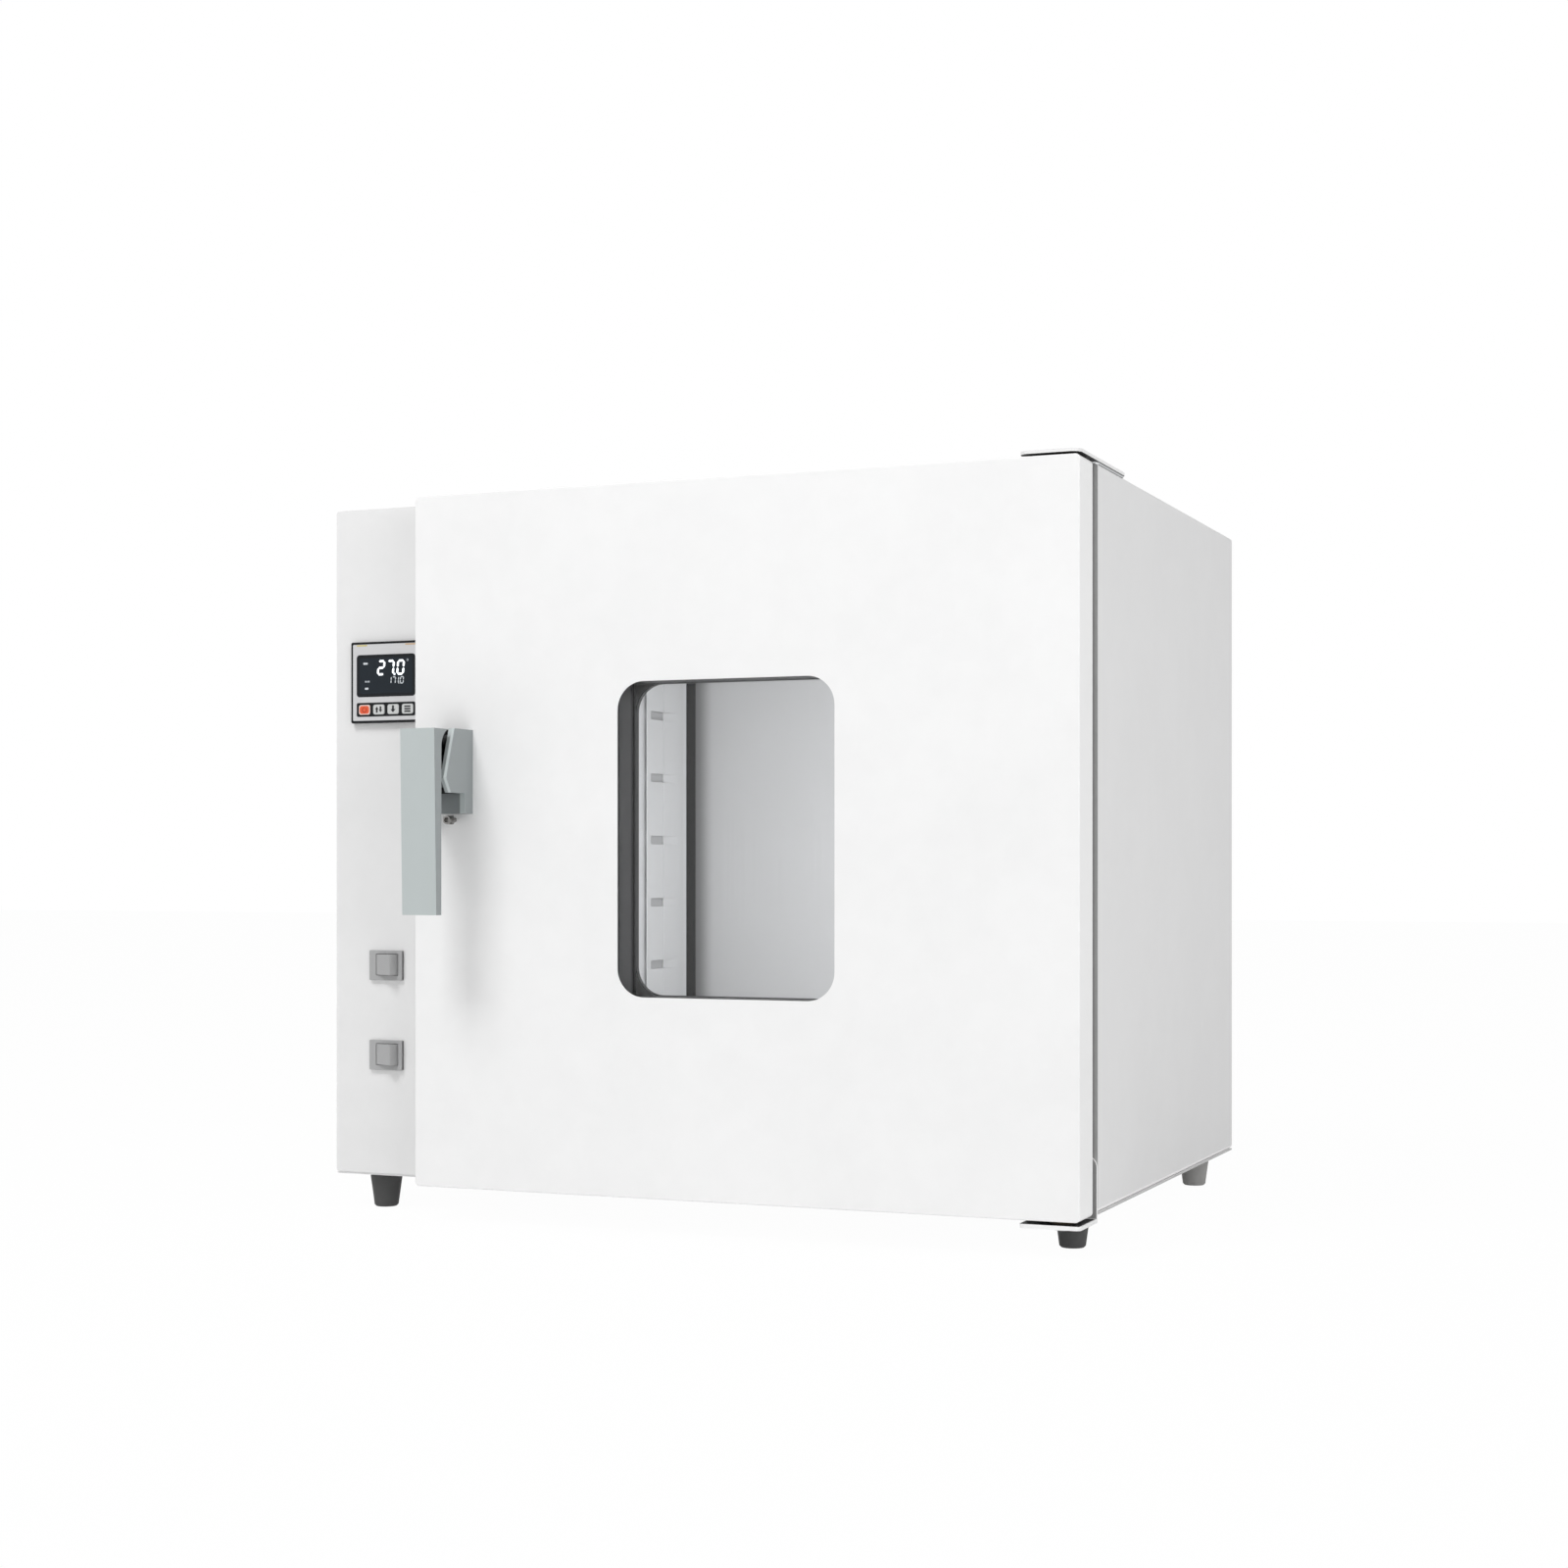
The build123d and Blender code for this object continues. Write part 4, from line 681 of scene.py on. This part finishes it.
def dress_solids():
    """Every solid piece gets its finish."""
    door_paint = powder_coat("door_powder", DOOR_WHITE)
    panel_paint = powder_coat("panel_powder", PANEL_WHITE)
    rear_paint = powder_coat("rear_powder", SHELL_WHITE, 0.46)
    dress(door_paint, "door_skin")
    dress(plate_finish(), "top_hinge_plate")
    dress(panel_paint, "control_panel")
    dress(rear_paint, "rear_panel", "rear_cover")
    dress(shell_finish(), "outer_shell")
    dress(frame_finish(), "front_frame")
    dress(pan_finish(), "base_pan")
    dress(bracket_finish(), "bottom_hinge_bracket")
    dress(galvanised("zinc_sheet", (0.58, 0.60, 0.62)), "partition", "motor_bracket")
    dress(plated("zinc_plate", (0.62, 0.63, 0.64), 0.34), "cover_screws", "hinge_pins", "latch_keeper",
          "top_hinge_spacer")
    dress(hook_finish(), "latch_hook")
    dress(plated("socket_screw", (0.36, 0.35, 0.34), 0.36), "handle_stud")
    dress(moulded("black_nylon", (0.022, 0.022, 0.024)),
          "cable_gland", "controller_case", "terminal_block")
    dress(rubber("foot_rubber_front", FRONT_RUBBER), "front_feet")
    dress(rubber("foot_rubber_rear", REAR_RUBBER_LIT), "rear_feet")
    dress(wool("mineral_wool", (0.42, 0.38, 0.28)), "insulation", "door_insulation")
    dress(liner_steel("liner_steel", (0.65, 0.654, 0.66)), "chamber_liner")
    dress(door_steel("door_inner_steel", (0.74, 0.745, 0.75)), "door_liner")
    dress(baffle_steel("baffle_steel", (0.86, 0.866, 0.874)), "air_baffle")
    dress(brushed_steel("post_steel", (0.80, 0.806, 0.812), 0.40, 0.2),
          "left_rack_posts", "right_rack_posts")
    dress(plated("shelf_wire", (0.70, 0.70, 0.71), 0.20), "lower_shelf", "upper_shelf")
    dress(heater_oxide("heater_sheath"), "heating_element")
    dress(plated("probe_steel", (0.60, 0.60, 0.61), 0.28), "temperature_probe", "fan_shaft")
    dress(silicone("pale_silicone", (0.62, 0.60, 0.57)), "door_gasket")
    dress(silicone("dark_silicone", (0.030, 0.031, 0.031)), "glass_seal")
    dress(brushed_steel("vent_steel", (0.66, 0.66, 0.67), 0.30), "exhaust_tube")
    dress(moulded("black_cap", (0.030, 0.030, 0.032), 0.38), "exhaust_damper")
    dress(moulded("motor_enamel", (0.035, 0.055, 0.080), 0.40, 500.0), "fan_motor")
    dress(plated("cast_aluminium", (0.66, 0.67, 0.68), 0.42),
          "fan_impeller", "cooling_disc", "heater_relay")
    # The hinge bushes' brass is painted near black, as shade in the gaps at the door's corners
    dress(plated("bush_brass", (0.075, 0.060, 0.042), 0.45), "hinge_bushes")
    dress(clear_pane("window_glass", (0.984, 0.985, 0.986)), "outer_glass", "inner_glass")
    dress(moulded("tunnel_paint", TUNNEL_GREY, 0.50, 700.0), "window_tunnel")
    dress(lever_finish(), "handle_lever")
    dress(mount_finish(), "handle_base")
    dress(plated("roller_steel", (0.62, 0.62, 0.63), 0.22), "keeper_roller")
    dress(moulded("switch_plastic", SWITCH_GREY, side_shade=0.42), "upper_switch_housing",
          "lower_switch_housing")
    dress(moulded("rocker_plastic", SWITCH_GREY), "upper_switch_rocker", "lower_switch_rocker")
    dress(bezel_finish(), "controller_bezel")
    dress(lens_finish(), "display_lens")
    dress(orange_key_finish(keys[0]), "controller_key_1")
    dress(moulded("key_cap", KEY_PALE, 0.40, 900.0),
          "controller_key_2", "controller_key_3", "controller_key_4")


def finished(name, shape, material, body):
    """Turns a mesh under construction into a piece that rides on a body."""
    bmesh.ops.remove_doubles(shape, verts=shape.verts, dist=1e-7)
    bmesh.ops.recalc_face_normals(shape, faces=shape.faces)
    mesh = bpy.data.meshes.new(name)
    shape.to_mesh(mesh)
    shape.free()
    mesh.materials.append(material)
    piece = bpy.data.objects.new(name, mesh)
    bpy.context.scene.collection.objects.link(piece)
    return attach(piece, body)


def add_plate(shape, outline, front, back):
    """A closed flat shape that faces the front, from its outline in X and Z."""
    near = [shape.verts.new((x, front, z)) for x, z in outline]
    far = [shape.verts.new((x, back, z)) for x, z in outline]
    shape.faces.new(near)
    shape.faces.new(far[::-1])
    for number in range(len(outline)):
        after = (number + 1) % len(outline)
        shape.faces.new((near[number], far[number], far[after], near[after]))


def join_loops(shape, loops):
    """A closed ring: each loop of points is joined to the next, and the last to the first."""
    for first, second in zip(loops, loops[1:] + loops[:1]):
        for number in range(len(first)):
            after = (number + 1) % len(first)
            shape.faces.new((first[number], first[after], second[after], second[number]))


def add_band(shape, outer, inner, front, back):
    """A flat ring between two outlines with as many points each."""
    join_loops(shape, [[shape.verts.new((x, depth, z)) for x, z in outline] for outline, depth in (
        (outer, front), (inner, front), (inner, back), (outer, back))])


def circle_outline(x, z, radius, count, start=0.0, turn=2 * pi):
    """Points round a circle, or along an arc of it."""
    angles = [start + turn * number / count for number in range(count)]
    return [(x + radius * cos(angle), z + radius * sin(angle)) for angle in angles]


def bar_outline(x, z, width, height, corner):
    """A rounded bar about its middle."""
    steps = 4
    points = []
    for number, (side, rise) in enumerate(((1, 1), (-1, 1), (-1, -1), (1, -1))):
        centre_x = x + side * (width / 2 - corner)
        centre_z = z + rise * (height / 2 - corner)
        for step in range(steps + 1):
            angle = (number + step / steps) * pi / 2
            points.append((centre_x + corner * cos(angle), centre_z + corner * sin(angle)))
    return points


def add_bar(shape, x, z, size, front, back):
    """A rounded bar about its middle. Its width, height and corner are in millimetres."""
    width, height, corner = (part * MM for part in size)
    add_plate(shape, bar_outline(x, z, width, height, corner), front, back)


SEGMENTS = {"0": "abcdef", "1": "bc", "2": "abged", "7": "abc"}


def segment_outline(letter, width, height, stroke):
    """One bar of a seven-part figure, with pointed ends, from the figure's lower left corner."""
    half = stroke / 2
    gap = 0.12 * stroke
    level = {"a": height - half, "g": height / 2, "d": half}
    if letter in level:
        z = level[letter]
        x0 = half + gap
        x1 = width - half - gap
        return [(x0, z), (x0 + half, z - half), (x1 - half, z - half),
                (x1, z), (x1 - half, z + half), (x0 + half, z + half)]
    x = width - half if letter in "bc" else half
    low = height / 2 + gap if letter in "bf" else half + gap
    high = height - half - gap if letter in "bf" else height / 2 - gap
    return [(x, low), (x + half, low + half), (x + half, high - half),
            (x, high), (x - half, high - half), (x - half, low + half)]


def add_figure(shape, figure, x, z, width, height, stroke, front, back):
    """A figure of up to seven bars that leans a little to the right."""
    for letter in SEGMENTS[figure]:
        outline = segment_outline(letter, width, height, stroke)
        add_plate(shape, [(x + px + pz * FIGURE_LEAN, z + pz) for px, pz in outline], front, back)


def display_figures():
    """The measured value, the set value under it and a few small lamps beside them."""
    front = lens_low.y - 0.08 * MM
    back = lens_low.y - 0.02 * MM
    left = lens_low.x
    top = lens_high.z
    white = glowing("display_white", (0.90, 0.95, 1.0), 0.9)
    grey = glowing("display_grey", (0.50, 0.53, 0.56), 0.30)
    faint = glowing("display_faint", (0.34, 0.37, 0.40), 0.20)

    foot = top - VALUE_FOOT
    value = bmesh.new()
    for figure, place in (("2", 20.9), ("7", 30.6), ("0", 41.0)):
        add_figure(value, figure, left + place * MM, foot, *VALUE_FIGURE, front, back)
    add_bar(value, left + 39.3 * MM, foot + 0.9 * MM, (1.8, 1.8, 0.4), front, back)
    finished("display_value", value, white, "cabinet")

    foot = top - SET_FOOT
    wanted = bmesh.new()
    for figure, place in (("1", 32.0), ("7", 36.4), ("1", 39.6), ("0", 44.6)):
        add_figure(wanted, figure, left + place * MM, foot, *SET_FIGURE, front, back)
    add_bar(wanted, left + 43.8 * MM, foot + 0.4 * MM, (0.8, 0.8, 0.2), front, back)
    finished("display_set_value", wanted, grey, "cabinet")

    lamps = bmesh.new()
    for x, z, width in ((9.1, 7.8, 4.6), (10.3, 30.3, 3.6)):
        add_bar(lamps, left + x * MM, top - z * MM, (width, 1.8, 0.6), front, back)
    finished("display_lamps", lamps, grey, "cabinet")

    marks = bmesh.new()
    for x, width in ((9.6, 2.2), (12.3, 2.4)):
        add_bar(marks, left + x * MM, top - 24.0 * MM, (width, 1.5, 0.4), front, back)
    outer = circle_outline(left + 52.8 * MM, top - 5.6 * MM, 1.1 * MM, 20)
    inner = circle_outline(left + 52.8 * MM, top - 5.6 * MM, 0.55 * MM, 20)
    add_band(marks, outer, inner, front, back)
    finished("display_marks", marks, faint, "cabinet")


def triangle_outline(x, z, width, height):
    """A triangle about its middle. A negative height points it down."""
    return [(x - width / 2, z - height / 2), (x + width / 2, z - height / 2), (x, z + height / 2)]


def key_signs():
    """Plain printed signs: a ring, two arrows, a down arrow and three bars."""
    black = moulded("sign_ink", INK, 0.5)
    red = moulded("sign_red", (0.42, 0.035, 0.015), 0.5)
    for number, (low, high) in enumerate(keys, start=1):
        x = (low.x + high.x) / 2
        z = (low.z + high.z) / 2
        front = low.y - 0.03 * MM
        back = low.y + 0.05 * MM
        sign = bmesh.new()
        if number == 1:
            start = radians(125)
            turn = radians(290)
            outer = circle_outline(x, z, 2.6 * MM, 22, start, turn)
            inner = circle_outline(x, z, 1.8 * MM, 22, start, turn)
            add_plate(sign, outer + inner[::-1], front, back)
            add_bar(sign, x, z + 1.9 * MM, (0.6, 2.2, 0.25), front, back)
        elif number == 2:
            for side, rise in ((-1.9, 1), (1.9, -1)):
                across = x + side * MM
                tip = triangle_outline(across, z + rise * 1.5 * MM, 3.4 * MM, rise * 2.4 * MM)
                add_plate(sign, tip, front, back)
                add_bar(sign, across, z - rise * 1.1 * MM, (1.8, 3.4, 0.3), front, back)
        elif number == 3:
            add_plate(sign, triangle_outline(x, z - 1.5 * MM, 5.0 * MM, -2.9 * MM), front, back)
            add_bar(sign, x, z + 1.5 * MM, (2.1, 3.8, 0.3), front, back)
        else:
            for rise in (-2.2, 0.0, 2.2):
                add_bar(sign, x, z + rise * MM, (6.4, 1.45, 0.3), front, back)
        finished(f"key_sign_{number}", sign, red if number == 1 else black, f"key_{number}")


def face_bars():
    """Two plain coloured bars at the top of the controller's face."""
    front = bezel_low.y - 0.04 * MM
    back = bezel_low.y + 0.02 * MM
    z = bezel_high.z - 3.2 * MM
    for name, x, colour in (("face_bar_yellow", bezel_low.x + 11.6 * MM, (0.62, 0.53, 0.20)),
                            ("face_bar_amber", bezel_high.x - 11.0 * MM, (0.58, 0.40, 0.24))):
        bar = bmesh.new()
        add_bar(bar, x, z, (11.0, 1.3, 0.5), front, back)
        finished(name, bar, moulded(name + "_ink", colour, 0.45), "cabinet")


class Recipe:
    """One tree of geometry nodes with named inputs, for shapes that repeat."""

    def __init__(self, name, inputs):
        self.tree = bpy.data.node_groups.new(name, "GeometryNodeTree")
        self.tree.is_modifier = True
        face = self.tree.interface
        face.new_socket("Geometry", in_out="OUTPUT", socket_type="NodeSocketGeometry")
        face.new_socket("Geometry", in_out="INPUT", socket_type="NodeSocketGeometry")
        self.sockets = {}
        for label, kind in inputs.items():
            self.sockets[label] = face.new_socket(label, in_out="INPUT", socket_type="NodeSocket" + kind)
        self.start = self.tree.nodes.new("NodeGroupInput")
        self.end = self.tree.nodes.new("NodeGroupOutput")

    def given(self, label):
        """One of the tree's inputs."""
        return self.start.outputs[label]

    def add(self, kind, settings=None, sockets=None, out=0):
        """One output of a new node."""
        return add_node(self.tree, kind, settings, sockets).outputs[out]

    def scaled(self, value, share):
        """A value made larger or smaller by a share."""
        return self.add("ShaderNodeMath", {"operation": "MULTIPLY"}, {0: value, 1: share})

    def close(self, shape):
        """Ends the tree: what it placed becomes real mesh with its material."""
        solid = self.add("GeometryNodeRealizeInstances", None, {0: shape})
        material = self.given("Material")
        dressed = self.add("GeometryNodeSetMaterial", None, {0: solid, "Material": material})
        self.tree.links.new(dressed, self.end.inputs[0])

    def make(self, name, places, values, body, slot):
        """Runs the tree on a set of points and keeps the result as a plain mesh."""
        points = bpy.data.meshes.new(name)
        points.from_pydata(places, [], [])
        piece = bpy.data.objects.new(name, points)
        bpy.context.scene.collection.objects.link(piece)
        modifier = piece.modifiers.new("recipe", "NODES")
        modifier.node_group = self.tree
        for label, value in values.items():
            modifier[self.sockets[label].identifier] = value
        bpy.context.view_layer.update()
        depsgraph = bpy.context.evaluated_depsgraph_get()
        mesh = bpy.data.meshes.new_from_object(piece.evaluated_get(depsgraph))
        piece.modifiers.clear()
        piece.data = mesh
        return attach(piece, body)


def screw_recipe():
    """Pan-head screws with a cross recess, each on its washer and turned at random."""
    recipe = Recipe("screw_heads", {
        "Direction": "Vector", "Head Radius": "Float", "Head Height": "Float",
        "Washer Radius": "Float", "Seed": "Int", "Material": "Material"})
    radius = recipe.given("Head Radius")
    height = recipe.given("Head Height")
    crown = recipe.scaled(radius, 0.72)
    head = recipe.add("GeometryNodeMeshCone", None, {
        "Vertices": 20, "Radius Top": crown, "Radius Bottom": radius, "Depth": height})
    long = recipe.scaled(radius, 1.15)
    thin = recipe.scaled(radius, 0.26)
    deep = recipe.scaled(height, 1.1)
    lift = recipe.add("ShaderNodeCombineXYZ", None, {2: height})
    bars = []
    for sizes in ({0: long, 1: thin, 2: deep}, {0: thin, 1: long, 2: deep}):
        size = recipe.add("ShaderNodeCombineXYZ", None, sizes)
        bar = recipe.add("GeometryNodeMeshCube", None, {"Size": size})
        bars.append(recipe.add("GeometryNodeTransform", None, {0: bar, "Translation": lift}))
    cut = head
    for bar in bars:
        cut = recipe.add("GeometryNodeMeshBoolean", {"operation": "DIFFERENCE"}, {0: cut, 1: bar})
    washer = recipe.add("GeometryNodeMeshCylinder", None, {
        "Vertices": 24, "Radius": recipe.given("Washer Radius"), "Depth": recipe.scaled(height, 0.36)})
    screw = add_node(recipe.tree, "GeometryNodeJoinGeometry")
    for part in (cut, washer):
        recipe.tree.links.new(part, screw.inputs[0])
    direction = recipe.given("Direction")
    way = recipe.add("FunctionNodeAlignRotationToVector", {"axis": "Z"}, {"Vector": direction})
    turn = recipe.add("FunctionNodeRandomValue", {"data_type": "FLOAT"},
                      {2: 0.0, 3: pi, "Seed": recipe.given("Seed")}, 1)
    about = recipe.add("ShaderNodeCombineXYZ", None, {2: turn})
    spin = recipe.add("FunctionNodeEulerToRotation", None, {0: about})
    turned = recipe.add("FunctionNodeRotateRotation", {"rotation_space": "LOCAL"}, {0: way, 1: spin})
    recipe.close(recipe.add("GeometryNodeInstanceOnPoints", None, {
        0: recipe.given("Geometry"), "Instance": screw.outputs[0], "Rotation": turned}))
    return recipe


def screws():
    """Screws of the door's inner sheet, the keeper, both hinge plates and the baffle."""
    recipe = screw_recipe()
    zinc = plated("screw_zinc", (0.60, 0.61, 0.62), 0.30)
    steel = plated("screw_steel", (0.66, 0.66, 0.67), 0.24)
    quarters = (0.25, 0.5, 0.75)

    sheet_low, sheet_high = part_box("door_liner")
    sheet_y = sheet_low.y + SHEET
    latch_margin = 4.9 * MM
    hinge_margin = 14.0 * MM
    end_margin = 16.0 * MM
    left = sheet_low.x + latch_margin
    right = sheet_high.x - hinge_margin
    bottom = sheet_low.z + end_margin
    top = sheet_high.z - end_margin
    across = [left + (right - left) * share for share in (0.0, *quarters, 1.0)]
    up = [bottom + (top - bottom) * share for share in quarters]
    ring = [(x, sheet_y, z) for x in across for z in (bottom, top)]
    ring += [(x, sheet_y, z) for x in (left, right) for z in up]

    low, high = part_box("latch_keeper")
    plate_front = high.y - 3.0 * MM
    inset = 9.0 * MM
    keeper = [(low.x + 10.0 * MM, plate_front, z) for z in (low.z + inset, high.z - inset)]
    low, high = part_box("bottom_hinge_bracket")
    bracket = [(x, high.y - BRACKET_PLATE, high.z - 20.0 * MM)
               for x in (low.x + 13.0 * MM, high.x - 15.0 * MM)]
    low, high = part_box("top_hinge_plate")
    plate = [(low.x + x * MM, high.y - y * MM, high.z)
             for x, y in ((13.0, 16.0), (37.0, 16.0), (13.0, 70.0), (37.0, 70.0))]
    low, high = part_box("air_baffle")
    baffle = [(high.x, low.y + 10.0 * MM, low.z + (high.z - low.z) * share)
              for share in (0.06, 0.35, 0.65, 0.94)]

    # Each set: where its heads are, the way they face, their radius, height and washer in millimetres
    sets = (("door_sheet_screws", ring, (0, 1, 0), (3.0, 1.8, 3.9), steel, "door", "stainless"),
            ("keeper_screws", keeper, (0, -1, 0), (3.4, 2.0, 4.6), zinc, "cabinet", "zinc"),
            ("bracket_screws", bracket, (0, -1, 0), (3.8, 2.2, 5.2), zinc, "cabinet", "zinc"),
            ("hinge_plate_screws", plate, (0, 0, 1), (4.0, 1.8, 5.4), zinc, "cabinet", "zinc"),
            ("baffle_screws", baffle, (1, 0, 0), (3.0, 1.8, 4.0), steel, "cabinet", "stainless"))
    for seed, (name, places, way, sizes, finish, body, slot) in enumerate(sets, start=3):
        radius, height, washer = (size * MM for size in sizes)
        recipe.make(name, places, {
            "Direction": way, "Head Radius": radius, "Head Height": height, "Washer Radius": washer,
            "Seed": seed, "Material": finish}, body, slot)


def pivot_of(name):
    """A point on a joint's axis."""
    return next(joint for joint in frame["joints"] if joint["name"] == name)["pos_m"]


def springs():
    """Two coil springs round the lever's pin, between its tongue and the mount's cheeks."""
    recipe = Recipe("coil_springs", {"Coil Radius": "Float", "Wire Radius": "Float", "Length": "Float",
                                     "Turns": "Float", "Material": "Material"})
    radius = recipe.given("Coil Radius")
    coil = recipe.add("GeometryNodeCurveSpiral", None, {
        "Resolution": 20, "Rotations": recipe.given("Turns"), "Start Radius": radius,
        "End Radius": radius, "Height": recipe.given("Length")})
    wire = recipe.add("GeometryNodeCurvePrimitiveCircle", {"mode": "RADIUS"},
                      {"Resolution": 8, "Radius": recipe.given("Wire Radius")})
    tube = recipe.add("GeometryNodeCurveToMesh", None, {0: coil, 1: wire, "Fill Caps": True})
    recipe.close(recipe.add("GeometryNodeInstanceOnPoints", None, {
        0: recipe.given("Geometry"), "Instance": tube, "Rotation": (0.0, pi / 2, 0.0)}))
    pin = pivot_of("lever_pull")
    length = 3.6 * MM
    inner = 8.9 * MM
    places = [(pin[0] + across, pin[1], pin[2]) for across in (-inner - length, inner)]
    recipe.make("lever_springs", places, {
        "Coil Radius": 4.7 * MM, "Wire Radius": 0.55 * MM, "Length": length, "Turns": 3.0,
        "Material": moulded("spring_black", (0.02, 0.02, 0.021), 0.4)}, "door", "dark_paint")


def shade_pad():
    """Thin black sheet on the bottom bracket round the hinge pin, put there as shade under the door."""
    low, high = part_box("bottom_hinge_bracket")
    pin = pivot_of("door_hinge")
    count = 48
    hole_radius = 10.2 * MM
    beyond = 0.2
    thick = 0.22 * MM
    edge = 1.2 * MM
    left = low.x + edge
    right = high.x - edge
    front = low.y + edge
    back = high.y - BRACKET_PLATE - edge
    under = low.z + BRACKET_PLATE
    over = under + thick
    hole = []
    rim = []
    for number in range(count):
        angle = 2 * pi * (number + 0.5) / count
        hole.append((pin[0] + hole_radius * cos(angle), pin[1] + hole_radius * sin(angle)))
        far = Vector((cos(angle), sin(angle))) * beyond
        rim.append((min(max(pin[0] + far.x, left), right), min(max(pin[1] + far.y, front), back)))
    shape = bmesh.new()
    join_loops(shape, [[shape.verts.new((x, y, z)) for x, y in line] for line, z in (
        (rim, over), (hole, over), (hole, under), (rim, under))])
    # A dark sheet standing in for shade under the door
    shade_black = moulded("pad_shade_black", (0.016, 0.016, 0.017), 0.5)
    finished("hinge_shade_pad", shape, shade_black, "cabinet")


def studio():
    """White floor and surroundings, three soft lamps and two small ones in the chamber."""
    floor = bpy.data.meshes.new("floor")
    reach = 12.0
    corners = [(-reach, -reach, 0), (reach, -reach, 0), (reach, reach, 0), (-reach, reach, 0)]
    floor.from_pydata(corners, [], [(0, 1, 2, 3)])
    ground = bpy.data.objects.new("floor", floor)
    bpy.context.scene.collection.objects.link(ground)
    floor.materials.append(floor_finish())

    world = bpy.data.worlds.new("studio")
    bpy.context.scene.world = world
    world.use_nodes = True
    tree = world.node_tree
    background = tree.nodes["Background"]
    background.inputs["Color"].default_value = (1.0, 1.0, 1.0, 1.0)
    strength = add_node(tree, "ShaderNodeMapRange", None, {"Value": seen_share(tree), "To Min": AMBIENT})
    feed(tree, background.inputs["Strength"], strength.outputs[0])

    for name, target, direction, distance, side, power in STUDIO_LAMPS:
        lamp(name, target, direction, distance, side, side, power)
    chamber_lamps()


def seen_share(tree):
    """1 for what the camera sees, straight, through glass or in gloss, and 0 for other light."""
    path = add_node(tree, "ShaderNodeLightPath").outputs
    seen = path["Is Camera Ray"]
    for ray in ("Is Glossy Ray", "Is Transmission Ray"):
        either = add_node(tree, "ShaderNodeMath", {"operation": "MAXIMUM"}, {0: seen, 1: path[ray]})
        seen = either.outputs[0]
    return seen


def floor_finish():
    """White floor that reads as white and keeps a faint shadow of the oven."""
    ground = Finish("floor_white", (0.90, 0.90, 0.90), 0.9)
    seen = Signal(ground, seen_share(ground.tree))
    white = ground.add("ShaderNodeEmission", None, {"Color": (1.0, 1.0, 1.0, 1.0), "Strength": 1.0})
    base = Signal(ground, ground.shader.outputs[0])
    both = ground.add("ShaderNodeMixShader", None, {0: seen * FLOOR_SHARE, 1: base, 2: white})
    ground.show(both)
    return ground.material


def lamp(name, target, direction, distance, width, height, power):
    """A soft rectangular lamp that shines along a direction at a point."""
    data = bpy.data.lights.new(name, "AREA")
    data.shape = "RECTANGLE"
    data.size = width
    data.size_y = height
    data.energy = power
    holder = bpy.data.objects.new(name, data)
    bpy.context.scene.collection.objects.link(holder)
    way = Vector(direction).normalized()
    holder.location = Vector(target) - way * distance
    holder.rotation_mode = "QUATERNION"
    holder.rotation_quaternion = way.to_track_quat("-Z", "Y")
    holder.visible_camera = False


def chamber_lamps():
    """Two small lamps inside, one for the left wall and one for the back wall."""
    low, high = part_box("chamber_liner")
    middle = (low + high) / 2
    side = (high.x - SIDE_LAMP_GAP, middle.y + SIDE_LAMP_SHIFT, middle.z)
    front = (middle.x + BACK_LAMP_SHIFT, low.y + BACK_LAMP_GAP, middle.z)
    lamp("chamber_side_lamp", side, (-1, 0, 0), 0.0, *CHAMBER_SIDE_LAMP)
    lamp("chamber_back_lamp", front, (0, 1, 0), 0.0, *CHAMBER_BACK_LAMP)


def camera():
    """The photograph's own view: level, with the frame shifted up."""
    data = bpy.data.cameras.new("camera")
    data.sensor_width = CAMERA_SENSOR
    data.lens = CAMERA_LENS
    data.shift_y = HORIZON_UNDER_MIDDLE
    data.clip_end = 60.0
    holder = bpy.data.objects.new("camera", data)
    bpy.context.scene.collection.objects.link(holder)
    holder.location = CAMERA_PLACE
    holder.rotation_euler = (pi / 2, 0.0, CAMERA_YAW)
    bpy.context.scene.camera = holder


camera()
studio()
dress_solids()
display_figures()
key_signs()
face_bars()
screws()
springs()
shade_pad()

bpy.context.scene.view_settings.view_transform = "Standard"
bpy.context.scene.cycles.use_denoising = True
